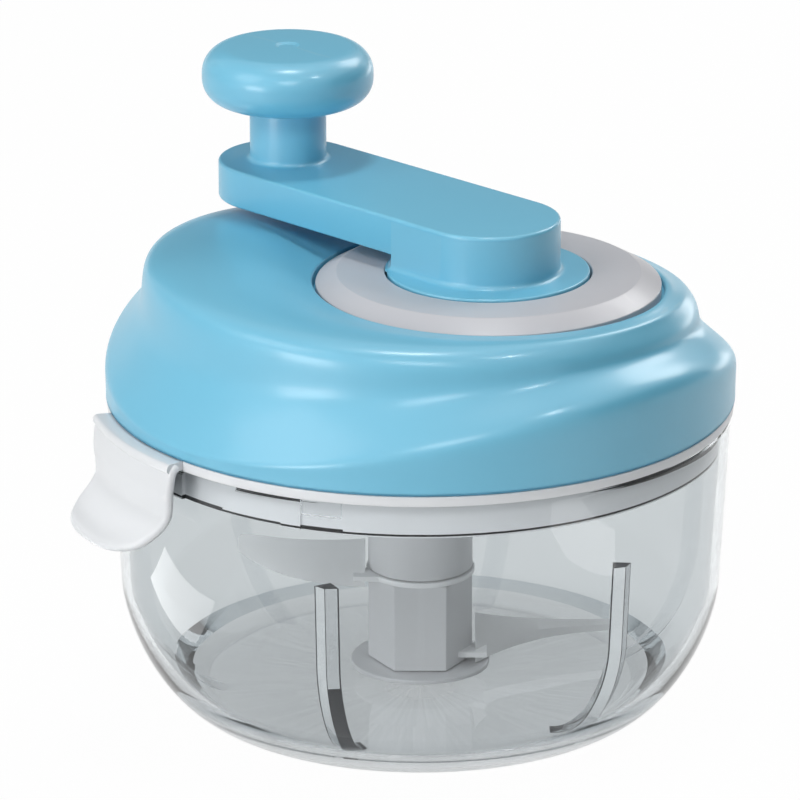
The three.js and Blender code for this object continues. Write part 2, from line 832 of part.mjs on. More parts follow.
function trimRing() {
  const inner = flangeRadius + flangeGap;
  return revolve(
    [
      [inner, recessFloor + fitGap],
      [trimRadius, recessFloor + fitGap],
      [trimRadius, deckTop],
      [trimRadius - trimChamfer, trimTop],
      [inner, trimTop],
    ],
    roundSides,
  );
}

function stadium(length, half) {
  const shape = new THREE.Shape();
  shape.absarc(length, 0, half, -Math.PI / 2, Math.PI / 2, false);
  shape.absarc(0, 0, half, Math.PI / 2, (3 * Math.PI) / 2, false);
  return shape;
}

function crankArm() {
  const plate = new THREE.ExtrudeGeometry(stadium(armLength, armHalfWidth - armBevel), {
    depth: armThickness - 2 * armBevel,
    bevelThickness: armBevel,
    bevelSize: armBevel,
    bevelSegments: 2,
    curveSegments: armSegments,
  });
  plate.translate(0, 0, armUnder + armBevel);
  const hub = prism(stadium(armLength, armHalfWidth), flangeTop - joinOver, armUnder + armThickness / 2);
  const hubLimit = disc(hubRadius, flangeTop - cutOver, armTop, roundSides);
  const post = revolve([
    [0, armTop - joinOver],
    [postRadius + postFillet, armTop - joinOver],
    [postRadius + postFillet, armTop],
    [postRadius + postFillet / 3, armTop + postFillet / 3],
    [postRadius, armTop + postFillet],
    [postRadius, postTop],
    [0, postTop],
  ]).translate([armLength, 0, 0]);
  const flange = disc(flangeRadius, recessFloor + fitGap, flangeTop, roundSides);
  const spigot = disc(spigotRadius, webTop + fitGap, recessFloor + joinOver);
  const key = hexPrism(spigotHexWidth, webUnder + fitGap, webTop + joinOver);
  const screwHole = disc(crankScrewRadius + fitGap, webUnder - cutOver, crankScrewTop() + fitGap);
  const pinHole = disc(knobPinRadius + fitGap, postTop - knobPinSink - fitGap, postTop + cutOver);
  return turned(
    solidOf(plate)
      .add(hub.intersect(hubLimit))
      .add(post)
      .add(flange)
      .add(spigot)
      .add(key)
      .subtract(screwHole)
      .subtract(pinHole.translate([armLength, 0, 0])),
    armAngle,
  );
}

function crankScrewTop() {
  return webUnder - 2 * fitGap - washerThickness + crankScrewLength;
}

function crankScrew() {
  const headTop = webUnder - 2 * fitGap - washerThickness;
  return revolve([
    [0, headTop - crankScrewHead],
    [crankScrewHeadRadius, headTop - crankScrewHead],
    [crankScrewHeadRadius, headTop],
    [crankScrewRadius, headTop],
    [crankScrewRadius, crankScrewTop() - crankScrewRadius],
    [0, crankScrewTop()],
  ]);
}

function crankWasher() {
  const top = webUnder - fitGap;
  return tube(crankScrewRadius + fitGap, washerRadius, top - washerThickness, top);
}

function crankBush() {
  const bore = spigotRadius + runGap;
  return revolve([
    [bore, bushFlangeTop - bushFlange],
    [bushFlangeRadius, bushFlangeTop - bushFlange],
    [bushFlangeRadius, bushFlangeTop],
    [bore + bushWall, bushFlangeTop],
    [bore + bushWall, bushTop],
    [bore, bushTop],
  ]);
}

// An involute gear outline; thin is taken off each flank, or added to it where the outline is a cutter
function gearShape(teeth, tipRadius, rootRadius, thin, turn) {
  const pitchRadius = (gearModule * teeth) / 2;
  const baseRadius = pitchRadius * Math.cos(radians(pressureAngle));
  const involute = (radius) => {
    const ratio = Math.max(1, radius / baseRadius);
    return Math.sqrt(ratio ** 2 - 1) - Math.acos(1 / ratio);
  };
  const halfAt = (radius) =>
    Math.PI / (2 * teeth) - thin / pitchRadius + involute(pitchRadius) - involute(radius);
  const shape = new THREE.Shape();
  for (let tooth = 0; tooth < teeth; tooth += 1) {
    const centre = radians(turn) + (2 * Math.PI * tooth) / teeth;
    for (let i = -flankSteps; i <= flankSteps; i += 1) {
      const radius = lerp(tipRadius, rootRadius, Math.abs(i) / flankSteps);
      const sides = i === 0 ? [-1, 1] : [Math.sign(i)];
      for (const side of sides) {
        const angle = centre + side * halfAt(radius);
        const x = radius * Math.cos(angle);
        const y = radius * Math.sin(angle);
        if (tooth === 0 && i === -flankSteps) shape.moveTo(x, y);
        else shape.lineTo(x, y);
      }
    }
  }
  shape.closePath();
  return shape;
}

// The direction in which the two gears mesh: a pinion tooth lies there, in a space of the ring
const meshAngle = crankAxisAngle + 180;

function ringGear() {
  const rootRadius = ringPitchRadius + gearModule * dedendumShare;
  const tipRadius = ringPitchRadius - gearModule * addendumShare;
  const spaces = gearShape(ringTeeth, rootRadius, tipRadius, -backlash, meshAngle);
  const hexHole = hexPrism(spigotHexWidth + 2 * fitGap, webUnder - cutOver, webTop + cutOver);
  return disc(rootRadius + gearRim, gearUnder, webTop, roundSides)
    .subtract(prism(spaces, gearUnder - cutOver, webUnder))
    .subtract(turned(hexHole, armAngle));
}

function pinionUnder() {
  return bearingTop + 2 * fitGap + clipThickness + pinionSeat;
}

function drivePinion() {
  const tipRadius = pinionPitchRadius + gearModule * addendumShare;
  const rootRadius = pinionPitchRadius - gearModule * dedendumShare;
  const outline = gearShape(pinionTeeth, tipRadius, rootRadius, backlash, meshAngle);
  const hexHole = hexPrism(pinionHexWidth + 2 * fitGap, pinionUnder() - cutOver, webTop);
  return prism(outline, pinionUnder(), webUnder - 2 * fitGap).subtract(hexHole);
}

function driveShaft() {
  const grooveUnder = bearingTop + fitGap;
  const grooveTop = grooveUnder + clipThickness + fitGap / 2;
  const seat = pinionUnder() - fitGap;
  const round = revolve([
    [0, collarUnder],
    [collarRadius, collarUnder],
    [collarRadius, collarTop],
    [journalRadius, collarTop],
    [journalRadius, grooveUnder - fitGap / 2],
    [journalRadius - clipGrooveDepth, grooveUnder - fitGap / 2],
    [journalRadius - clipGrooveDepth, grooveTop],
    [journalRadius, grooveTop],
    [journalRadius, seat],
    [0, seat],
  ]);
  const nose = hexPrism(noseHexWidth, socketUnder + fitGap, collarUnder + joinOver);
  const stub = hexPrism(pinionHexWidth, seat - joinOver, webUnder - 3 * fitGap);
  return round.add(nose).add(stub);
}

function shaftClip() {
  const low = bearingTop + fitGap;
  const inner = journalRadius - clipGrooveDepth + fitGap;
  const opening = new THREE.Shape();
  const half = radians(clipOpening / 2);
  opening.moveTo(0, 0);
  opening.lineTo((clipRadius + cutOver) * Math.cos(half), -(clipRadius + cutOver) * Math.sin(half));
  opening.lineTo((clipRadius + cutOver) * Math.cos(half), (clipRadius + cutOver) * Math.sin(half));
  opening.closePath();
  const ring = tube(inner, clipRadius, low, low + clipThickness);
  return ring.subtract(prism(opening, low - cutOver, low + clipThickness + cutOver));
}

function crankKnob() {
  const low = knobUnder;
  const high = knobUnder + knobHeight;
  const bore = knobPinRadius + fitGap;
  const barbZ = knobUnder + knobPinRise / 2;
  const boreTop = knobUnder + knobPinRise + fitGap;
  const profile = [
    [bore, low],
    [knobRadius - knobRound, low],
  ];
  for (let i = 1; i <= knobRoundSteps; i += 1) {
    const angle = (Math.PI / 2) * (i / knobRoundSteps - 1);
    profile.push([
      knobRadius - knobRound + knobRound * Math.cos(angle),
      low + knobRound + knobRound * Math.sin(angle),
    ]);
  }
  for (let i = 0; i <= knobRoundSteps; i += 1) {
    const angle = (Math.PI / 2) * (i / knobRoundSteps);
    profile.push([
      knobRadius - knobRound + knobRound * Math.cos(angle),
      high - knobRound + knobRound * Math.sin(angle),
    ]);
  }
  profile.push([knobDimpleRadius, high], [0, high - knobDimple]);
  profile.push([0, boreTop], [bore, boreTop], [bore, barbZ + knobBarb]);
  profile.push([bore + knobBarb, barbZ], [bore, barbZ - knobBarb]);
  return revolve(profile, knobSides).translate([armLength, 0, 0]);
}

function knobPin() {
  const barbZ = knobUnder + knobPinRise / 2;
  return revolve([
    [0, postTop - knobPinSink],
    [knobPinRadius, postTop - knobPinSink],
    [knobPinRadius, barbZ - knobBarb],
    [knobPinRadius + knobBarb, barbZ],
    [knobPinRadius, barbZ + knobBarb],
    [knobPinRadius, knobUnder + knobPinRise],
    [0, knobUnder + knobPinRise],
  ]).translate([armLength, 0, 0]);
}

// The tab's middle surface: share across from -1 to 1, share down from 0 to 1
function tabPoint(across, down, side) {
  const scoopTop = edgeHeight - lerp(tabWaistDrop, tabDrop, 2 / 3);
  const curve = new THREE.CatmullRomCurve3([
    new THREE.Vector3(bandRadius + fitGap + tabThickness / 2, 0, bandTop - tabThickness / 2),
    new THREE.Vector3(tabShoulderRadius - tabThickness / 3, 0, edgeHeight - tabTopDrop),
    new THREE.Vector3(tabShoulderRadius, 0, edgeHeight - tabWaistDrop / 2),
    new THREE.Vector3(tabShoulderRadius, 0, edgeHeight - tabWaistDrop),
    new THREE.Vector3(lerp(tabShoulderRadius, tabLipRadius, 1 / 2), 0, scoopTop),
    new THREE.Vector3(tabLipRadius, 0, edgeHeight - tabDrop),
  ]);
  const place = curve.getPoint(down);
  const along = curve.getTangent(down);
  const outX = -along.z;
  const outZ = along.x;
  const width = (1 - down ** tabCornerShare) ** (1 / tabCornerShare);
  const angle = radians(tabAngle) + radians(tabHalfAngle) * across * width;
  const radius = place.x + (side * outX * tabThickness) / 2;
  const height = place.z + (side * outZ * tabThickness) / 2;
  return new THREE.Vector3(radius * Math.cos(angle), radius * Math.sin(angle), height);
}

function liftTab() {
  const face = (side) => {
    const rows = [];
    for (let j = 0; j <= tabDown; j += 1) {
      const down = tabLowestShare * Math.sin((j / tabDown) * (Math.PI / 2));
      const row = [];
      for (let i = 0; i <= tabAcross; i += 1) row.push(tabPoint((2 * i) / tabAcross - 1, down, side));
      rows.push(row);
    }
    return rows;
  };
  const scoop = sheet(face(1), face(-1));
  const rootReach = bandRadius + 2 * tabThickness;
  const root = tube(notchRadius() + fitGap, rootReach, bandUnder + fitGap, bandTop, roundSides);
  const sector = sectorShape(tabAngle - tabRootHalfAngle, tabAngle + tabRootHalfAngle, coverRadius + tabDrop);
  return scoop.add(root.intersect(prism(sector, bandUnder - cutOver, bandTop + cutOver)));
}

function notchRadius() {
  return sealGrooveRadius + sealWidth + 2 * fitGap;
}

function sectorShape(startDegrees, endDegrees, reach) {
  const shape = new THREE.Shape();
  shape.moveTo(0, 0);
  for (let i = 0; i <= sectorSteps; i += 1) {
    const angle = radians(lerp(startDegrees, endDegrees, i / sectorSteps));
    shape.lineTo(reach * Math.cos(angle), reach * Math.sin(angle));
  }
  shape.closePath();
  return shape;
}

// The part of the band that the tab's root takes up
function tabNotch() {
  const ring = tube(notchRadius(), coverRadius + cutOver, bandUnder - cutOver, bandTop + fitGap, roundSides);
  const half = tabRootHalfAngle + degreesOf(fitGap / bandRadius);
  const sector = sectorShape(tabAngle - half, tabAngle + half, coverRadius + tabDrop);
  return ring.intersect(prism(sector, bandUnder - cutOver, edgeHeight));
}

const chopper = new THREE.Group();
const crank = new THREE.Group();
crank.position.set(crankX, crankY, 0);
const knob = new THREE.Group();
knob.rotation.z = radians(armAngle);
crank.add(knob);
chopper.add(crank);

chopper.add(namedMesh("bowl", bowl(), materials.clear));
chopper.add(namedMesh("centre_pin", centrePin(), materials.steel));
chopper.add(namedMesh("blade_column", bladeColumn(), materials.rotorWhite));
chopper.add(namedMesh("column_foot", columnFoot(), materials.rotorWhite));
chopper.add(namedMesh("upper_blade", blade(upperWing, upperBladeUnder, upperHubRadius), materials.steel));
chopper.add(namedMesh("lower_blade", blade(lowerWing, lowerBladeUnder, lowerHubRadius), materials.steel));
chopper.add(namedMesh("lid_base", lidBase(), materials.whiteGloss));
chopper.add(namedMesh("lid_seal", lidSeal(), materials.silicone));
chopper.add(namedMesh("lift_tab", liftTab(), materials.whiteGloss));
chopper.add(namedMesh("lid_cover", lidCover(), materials.blueGloss));
screwPlaces().forEach(([x, y], i) => {
  const screw = namedMesh(`cover_screw_${i + 1}`, coverScrew(), materials.steel);
  screw.position.set(x, y, 0);
  chopper.add(screw);
});
chopper.add(namedMesh("drive_shaft", driveShaft(), materials.acetal));
chopper.add(namedMesh("shaft_clip", shaftClip(), materials.steel));
chopper.add(namedMesh("drive_pinion", drivePinion(), materials.acetal));
crank.add(namedMesh("trim_ring", trimRing(), materials.trimGrey));
crank.add(namedMesh("crank_bush", crankBush(), materials.acetal));
crank.add(namedMesh("ring_gear", ringGear(), materials.acetal));
crank.add(namedMesh("crank_arm", crankArm(), materials.blueGloss));
crank.add(namedMesh("crank_washer", crankWasher(), materials.steel));
crank.add(namedMesh("crank_screw", crankScrew(), materials.steel));
knob.add(namedMesh("crank_knob", crankKnob(), materials.blueGloss));
knob.add(namedMesh("knob_pin", knobPin(), materials.steel));

export default chopper;
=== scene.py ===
import bpy
import json
import math
import numpy as np
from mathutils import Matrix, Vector


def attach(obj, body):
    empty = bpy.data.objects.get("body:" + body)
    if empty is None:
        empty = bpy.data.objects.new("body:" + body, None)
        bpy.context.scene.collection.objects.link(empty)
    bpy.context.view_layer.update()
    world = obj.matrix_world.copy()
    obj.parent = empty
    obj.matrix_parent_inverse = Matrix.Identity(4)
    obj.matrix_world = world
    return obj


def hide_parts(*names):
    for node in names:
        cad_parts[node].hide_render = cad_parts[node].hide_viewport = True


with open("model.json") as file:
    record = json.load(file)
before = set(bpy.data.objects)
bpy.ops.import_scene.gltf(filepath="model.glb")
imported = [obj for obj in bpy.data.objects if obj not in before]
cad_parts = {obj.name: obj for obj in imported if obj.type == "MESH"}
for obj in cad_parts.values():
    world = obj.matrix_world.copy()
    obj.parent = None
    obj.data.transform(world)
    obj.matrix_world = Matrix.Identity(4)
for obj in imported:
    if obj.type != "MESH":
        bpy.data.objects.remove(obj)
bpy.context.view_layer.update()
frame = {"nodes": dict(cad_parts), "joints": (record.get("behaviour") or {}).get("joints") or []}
mm = 0.001
print("frame loaded")


def addObject(name, data):
    made = bpy.data.objects.new(name, data)
    bpy.context.scene.collection.objects.link(made)
    return made


# Camera, fitted to the photograph's ellipses
shot = {
    "distance": 1.340, "height": 0.5367, "pitch": 19.04, "yaw": -0.21, "focalPixels": 5921.1, "pixels": 800,
    "sensor": 36.0, "clipEnd": 50,
}


def makeCamera():
    data = bpy.data.cameras.new("shotCamera")
    data.sensor_width = shot["sensor"]
    data.lens = shot["focalPixels"] / shot["pixels"] * shot["sensor"]
    data.clip_end = shot["clipEnd"]
    camera = addObject("shotCamera", data)
    camera.location = (0, -shot["distance"], shot["height"])
    camera.rotation_euler = (math.radians(90 - shot["pitch"]), 0, -math.radians(shot["yaw"]))
    bpy.context.scene.camera = camera


makeCamera()


# Shader maths: a Value wraps one socket, and expressions add the nodes
class Value:
    def __init__(self, graph, socket):
        self.graph = graph
        self.socket = socket

    def isVector(self):
        return self.socket.type != "VALUE"

    def combine(self, operation, first, second):
        wide = any(isinstance(v, tuple) or isinstance(v, Value) and v.isVector() for v in (first, second))
        kind = "VectorMath" if wide else "Math"
        return self.graph.node(kind, {"operation": operation}, {0: first, 1: second})

    def __add__(self, other):
        return self.combine("ADD", self, other)

    def __radd__(self, other):
        return self.combine("ADD", other, self)

    def __sub__(self, other):
        return self.combine("SUBTRACT", self, other)

    def __rsub__(self, other):
        return self.combine("SUBTRACT", other, self)

    def __mul__(self, other):
        return self.combine("MULTIPLY", self, other)

    def __rmul__(self, other):
        return self.combine("MULTIPLY", other, self)


class Graph:
    def __init__(self, owner):
        self.owner = owner
        owner.use_nodes = True
        self.tree = owner.node_tree
        self.tree.nodes.clear()

    def feed(self, socket, value):
        if isinstance(value, Value):
            self.tree.links.new(value.socket, socket)
        elif isinstance(value, tuple) and len(socket.default_value) == 4:
            socket.default_value = (*value, 1)
        else:
            socket.default_value = value

    def node(self, kind, settings, sockets, out=0):
        made = self.tree.nodes.new("ShaderNode" + kind)
        for key, value in settings.items():
            setattr(made, key, value)
        for key, value in sockets.items():
            self.feed(made.inputs[key], value)
        return Value(self, made.outputs[out])

    def place(self):
        return self.node("TexCoord", {}, {}, "Object")

    def ray(self, output):
        return self.node("LightPath", {}, {}, output)

    def noise(self, scale, detail=2, rough=0.5, stretch=None):
        where = self.place() * stretch if stretch else self.place()
        names = {"Vector": where, "Scale": scale, "Detail": detail, "Roughness": rough}
        return self.node("TexNoise", {}, names)

    def blend(self, share, first, second):
        return self.node("Mix", {"data_type": "RGBA"}, {0: share, 6: first, 7: second}, 2)

    def band(self, value, low, high, toLow=0.0, toHigh=1.0):
        names = {"Value": value, "From Min": low, "From Max": high, "To Min": toLow, "To Max": toHigh}
        return self.node("MapRange", {"clamp": True}, names)

    def bump(self, height, strength, distance):
        return self.node("Bump", {}, {"Height": height, "Strength": strength, "Distance": distance})

    def finish(self, shader, volume=None):
        isWorld = isinstance(self.owner, bpy.types.World)
        out = self.tree.nodes.new("ShaderNodeOutputWorld" if isWorld else "ShaderNodeOutputMaterial")
        self.feed(out.inputs["Surface"], shader)
        if volume:
            self.feed(out.inputs["Volume"], volume)
        return self.owner


def paintGraph(name):
    return Graph(bpy.data.materials.new(name))


def sharpEdge(graph, width):
    # lighter where the surface turns sharply, as handled plastic and ground steel do
    turn = graph.node("NewGeometry", {}, {}, "Pointiness")
    return graph.band(turn, 0.5 + width, 0.5 + 3 * width)


def mouldedPlastic(name, look):
    g = paintGraph(name)
    cloud = g.noise(look["cloudScale"], 3)
    grain = g.noise(look["grainScale"], 2, 0.6)
    rub = g.band(g.noise(look["rubScale"], 5, 0.7, (1, 1, 0.3)), 0.56, 0.74)
    colour = g.blend(g.band(cloud, 0.3, 0.7), look["colour"], look["shade"])
    colour = g.blend(sharpEdge(g, 0.03) * look["edge"], colour, look["worn"])
    names = {
        "Base Color": colour, "IOR": look["ior"], "Normal": g.bump(grain, look["grain"], 0.00005),
        "Roughness": look["rough"] + g.band(cloud, 0.3, 0.7) * look["roughSpread"] + rub * look["rubRough"],
        "Coat Weight": look["coat"], "Coat Roughness": look["coatRough"],
    }
    return g.finish(g.node("BsdfPrincipled", {}, names))


# Every plastic starts from these values, and each look says what it has of its own
plasticStart = {
    "edge": 0.4, "rough": 0.34, "roughSpread": 0.06, "rubRough": 0.08, "coat": 0.0, "coatRough": 0.12,
    "grain": 0.12, "cloudScale": 30.0, "grainScale": 1400.0, "rubScale": 70.0, "ior": 1.48,
}
plasticLooks = {
    "bluePlastic": {
        "colour": (0.155, 0.530, 0.735), "shade": (0.145, 0.515, 0.720), "worn": (0.26, 0.56, 0.71),
        "edge": 0.3, "rough": 0.48, "roughSpread": 0.03, "rubRough": 0.03, "coat": 0.5, "coatRough": 0.20,
        "grain": 0.08, "cloudScale": 26.0, "grainScale": 1500.0, "rubScale": 60.0, "ior": 1.70,
    },
    "whitePlastic": {
        "colour": (0.82, 0.84, 0.86), "shade": (0.80, 0.82, 0.84), "worn": (0.88, 0.89, 0.90), "rough": 0.28,
        "coat": 0.1, "ior": 1.5,
    },
    "trimGrey": {
        "colour": (0.63, 0.635, 0.67), "shade": (0.60, 0.605, 0.64), "worn": (0.72, 0.72, 0.74), "coat": 0.05,
        "grain": 0.16, "cloudScale": 34.0, "rubScale": 80.0,
    },
    "rotorWhite": {
        "colour": (0.74, 0.74, 0.75), "shade": (0.71, 0.71, 0.72), "worn": (0.80, 0.80, 0.81), "edge": 0.5,
        "rough": 0.38, "roughSpread": 0.08, "rubRough": 0.10, "grain": 0.2, "cloudScale": 60.0,
        "grainScale": 1300.0, "rubScale": 120.0,
    },
    "acetal": {
        "colour": (0.74, 0.73, 0.69), "shade": (0.68, 0.67, 0.63), "worn": (0.80, 0.79, 0.75), "edge": 0.5,
        "rough": 0.42, "roughSpread": 0.1, "rubRough": 0.12, "grain": 0.25, "cloudScale": 70.0,
        "grainScale": 1200.0, "rubScale": 150.0,
    },
    # painted light: the plug's white is a lit copy, brighter than the band's to make up for the dim light inside the
    # bowl
    "plugLitWhite": {"colour": (0.93, 0.935, 0.95), "shade": (0.90, 0.905, 0.92), "worn": (0.95, 0.95, 0.96)},
    # painted shade: near black for the plug's grooves and the undercut under the band, where shadow falls
    "groovePaintedShade": {
        "colour": (0.02, 0.02, 0.022), "shade": (0.03, 0.03, 0.032), "worn": (0.04, 0.04, 0.04), "edge": 0.1,
        "rough": 0.7, "roughSpread": 0.1, "rubRough": 0.1, "grain": 0.3, "cloudScale": 80.0,
        "grainScale": 900.0, "rubScale": 90.0, "ior": 1.4,
    },
    "silicone": {
        "colour": (0.62, 0.63, 0.64), "shade": (0.57, 0.58, 0.59), "worn": (0.68, 0.69, 0.70), "edge": 0.2,
        "rough": 0.62, "roughSpread": 0.12, "rubRough": 0.1, "grain": 0.4, "cloudScale": 50.0,
        "grainScale": 900.0, "rubScale": 90.0, "ior": 1.41,
    },
}
paints = {name: mouldedPlastic(name, {**plasticStart, **look}) for name, look in plasticLooks.items()}

# Steels; the blades' near-white painted light; and inside the front ribs, opaque mirror faces as a painted glint,
# greyer ones as painted shade and painted dark lines along them
steelLooks = {
    "steel": {"colour": (0.56, 0.57, 0.58), "rough": 0.26, "stretch": (1, 1, 6), "metal": 1.0},
    # painted light: the blades are painted near-white and hardly metallic, to look as bright as lit steel inside the
    # dim bowl
    "bladePaintedLight": {"colour": (0.97, 0.97, 0.97), "rough": 0.38, "stretch": (1, 8, 1), "metal": 0.1},
    # painted light on the front ribs: a bright mirror paint as the glint, a greyer copy as the shade, near black as
    # dark lines
    "ribPaintedGlint": {"colour": (0.98, 0.985, 0.99), "rough": 0.12, "stretch": (1, 1, 6), "metal": 0.9},
    "ribPaintedShade": {"colour": (0.74, 0.75, 0.76), "rough": 0.14, "stretch": (1, 1, 6), "metal": 0.9},
    "ribPaintedDark": {"colour": (0.035, 0.035, 0.04), "rough": 0.3, "stretch": (1, 1, 6), "metal": 0.3},
}


def steelPaint(name, look):
    g = paintGraph(name)
    lines = g.noise(420.0, 3, 0.6, look["stretch"])
    haze = g.noise(45.0, 3)
    tone = g.blend(g.band(haze, 0.3, 0.7), look["colour"], tuple(0.86 * c for c in look["colour"]))
    tone = g.blend(sharpEdge(g, 0.04) * 0.5, tone, tuple(min(1.0, 1.2 * c) for c in look["colour"]))
    rough = look["rough"] + g.band(lines, 0.3, 0.7) * 0.12 + g.band(haze, 0.4, 0.8) * 0.05
    return g.finish(g.node("BsdfPrincipled", {}, {
        "Base Color": tone, "Metallic": look["metal"], "Roughness": rough, "Normal": g.bump(lines, 0.15, 0.00004),
    }))


paints.update({name: steelPaint(name, look) for name, look in steelLooks.items()})

# The wall hardly bends what is behind it, as thin plastic does; the thick floor bends it like a lens
clearLook = {
    "density": 170.0, "grey": (0.915, 0.925, 0.93), "rough": 0.012, "smudge": 0.03,
    "shadow": (0.97, 0.975, 0.98), "coatRough": 0.03,
}
clearKinds = {
    "clearWall": {"tint": (0.79, 0.815, 0.825), "ior": 1.10, "coat": 0.55},
    "clearFloor": {"tint": (0.80, 0.82, 0.83), "ior": 1.36, "coat": 0.6},
    "clearRib": {"tint": (0.90, 0.91, 0.92), "ior": 1.12, "coat": 0.3},
    "clearFarRib": {"tint": (0.95, 0.955, 0.96), "ior": 1.03, "coat": 0.0},
}


def clearPlastic(name, kind):
    g = paintGraph(name)
    smear = g.band(g.noise(38.0, 4, 0.6, (1, 1, 0.5)), 0.5, 0.8)
    ripple = g.noise(55.0, 1)
    body = g.node("BsdfPrincipled", {}, {
        "Base Color": kind["tint"], "IOR": kind["ior"], "Transmission Weight": 1.0,
        "Roughness": clearLook["rough"] + smear * clearLook["smudge"], "Normal": g.bump(ripple, 0.05, 0.0003),
        "Coat Weight": kind["coat"], "Coat Roughness": clearLook["coatRough"], "Coat IOR": 1.5,
    })
    shade = g.node("BsdfTransparent", {}, {"Color": clearLook["shadow"]})
    names = {"Color": clearLook["grey"], "Density": clearLook["density"]}
    inside = g.node("VolumeAbsorption", {}, names)
    return g.finish(g.node("MixShader", {}, {0: g.ray("Is Shadow Ray"), 1: body, 2: shade}), inside)


paints.update({name: clearPlastic(name, kind) for name, kind in clearKinds.items()})
print("paints made")


# Mesh helpers
def makeMesh(name, points, faces, sharp=32):
    mesh = bpy.data.meshes.new(name)
    mesh.from_pydata([tuple(p) for p in np.asarray(points) * mm], [], faces)
    mesh.validate()
    piece = addObject(name, mesh)
    volume = sum(f.center.dot(f.normal) * f.area for f in mesh.polygons)
    if volume < 0:
        mesh.flip_normals()
    mesh.shade_smooth()
    mesh.set_sharp_from_angle(angle=math.radians(sharp))
    return piece


def dress(piece, paint, body, replaced=()):
    piece.data.materials.clear()
    piece.data.materials.append(paints[paint])
    if replaced:
        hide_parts(*replaced)
    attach(piece, body)
    return piece


def roundCorners(corners, steps=5):
    # corners are (r, z) or (r, z, radius): a radius replaces the corner by an arc
    out = []
    count = len(corners)
    for i, corner in enumerate(corners):
        here = np.array(corner[:2], float)
        radius = corner[2] if len(corner) > 2 else 0
        if not radius:
            out.append(tuple(here))
            continue
        before = np.array(corners[i - 1][:2], float) - here
        after = np.array(corners[(i + 1) % count][:2], float) - here
        before /= np.linalg.norm(before)
        after /= np.linalg.norm(after)
        half = math.acos(float(np.clip(before @ after, -1, 1))) / 2
        reach = radius / math.tan(half)
        centre = here + (before + after) / np.linalg.norm(before + after) * radius / math.sin(half)
        start = here + before * reach - centre
        end = here + after * reach - centre
        turn = math.atan2(start[0] * end[1] - start[1] * end[0], start @ end)
        for k in range(steps + 1):
            a = turn * k / steps
            out.append((centre[0] + start[0] * math.cos(a) - start[1] * math.sin(a),
                        centre[1] + start[0] * math.sin(a) + start[1] * math.cos(a)))
    return out


def spin(profileAt, angles, closed=False, centre=(0, 0)):
    # revolves a profile that may change with the angle; rows with no radius become one point
    rows = np.array([profileAt(a) for a in angles]).transpose(1, 0, 2)
    count = len(angles)
    points, faces, starts = [], [], []
    for row in rows:
        starts.append(len(points))
        if row[:, 0].max() < 1e-6:
            points.append((centre[0], centre[1], row[0, 1]))
        else:
            points += [(centre[0] + r * math.cos(a), centre[1] + r * math.sin(a), z)
                       for (r, z), a in zip(row, angles)]
    ends = starts[1:] + [len(points)]
    pairs = list(zip(range(len(rows)), range(1, len(rows)))) + ([(len(rows) - 1, 0)] if closed else [])
    for j, k in pairs:
        flatJ = ends[j] - starts[j] == 1
        flatK = ends[k] - starts[k] == 1
        for i in range(count):
            n = (i + 1) % count
            face = [starts[j] + (0 if flatJ else i), starts[j] + (0 if flatJ else n)]
            face += [starts[k] + (0 if flatK else n), starts[k] + (0 if flatK else i)]
            face = list(dict.fromkeys(face))
            if len(face) > 2:
                faces.append(face)
    return points, faces


def evenAngles(count):
    return [2 * math.pi * i / count for i in range(count)]


def lathe(name, corners, sides=128, closed=False, centre=(0, 0), steps=5, sharp=32):
    profile = roundCorners(corners, steps)
    points, faces = spin(lambda a: profile, evenAngles(sides), closed, centre)
    return makeMesh(name, points, faces, sharp)


def joinPieces(name, pieces):
    bpy.ops.object.select_all(action="DESELECT")
    for piece in pieces:
        piece.select_set(True)
    bpy.context.view_layer.objects.active = pieces[0]
    bpy.ops.object.join()
    pieces[0].name = name
    return pieces[0]


def lerp(a, b, t):
    return a + (b - a) * t


def polar(r, a, z):
    return (r * math.cos(a), r * math.sin(a), z)


def angleOff(angle, degrees):
    # how far an angle in radians is from one in degrees
    return abs((angle - math.radians(degrees) + math.pi) % (2 * math.pi) - math.pi)


def loft(name, sections, sharp):
    # skins a row of outlines that have as many points each, and closes both ends
    n = len(sections[0])
    faces = []
    for i in range(len(sections) - 1):
        for j in range(n):
            k = (j + 1) % n
            faces.append([i * n + j, i * n + k, (i + 1) * n + k, (i + 1) * n + j])
    faces.append(list(reversed(range(n))))
    faces.append([(len(sections) - 1) * n + j for j in range(n)])
    return makeMesh(name, [point for section in sections for point in section], faces, sharp)


# Bowl: a revolved wall with the key at its rim, and six ribs that stand on its inner face
bowlSizes = {
    "height": 73.9, "rimRadius": 74.4, "shoulderRadius": 72.2, "shoulderHeight": 31.2, "footRadius": 52.5,
    "cornerPower": 1.6, "wall": 2.3, "floor": 3.4, "rimRound": 0.7, "wallRows": (44, 58), "flatShare": 0.6,
    "bossRadius": 5.4, "bossHeight": 3.6, "thickTo": 6.2, "sides": 216, "keyAngle": 251.5, "keyHalf": 3.9,
    "keyDepth": 1.1, "keyHeight": 4.3, "ribs": 6, "ribAngle": 252.0, "ribTop": 51.6, "ribWidth": 6.0,
    "ribDepth": 4.6, "ribEnd": 0.6, "ribEndShare": 0.93, "ribGap": 0.03, "ribEdge": 0.0014, "ribSeam": 0.11,
    # the last entry is the height up to which the first rib's right face is painted dark, as painted shade
    "ribRidge": 1.3, "ribPaintedDark": 26.7,
}


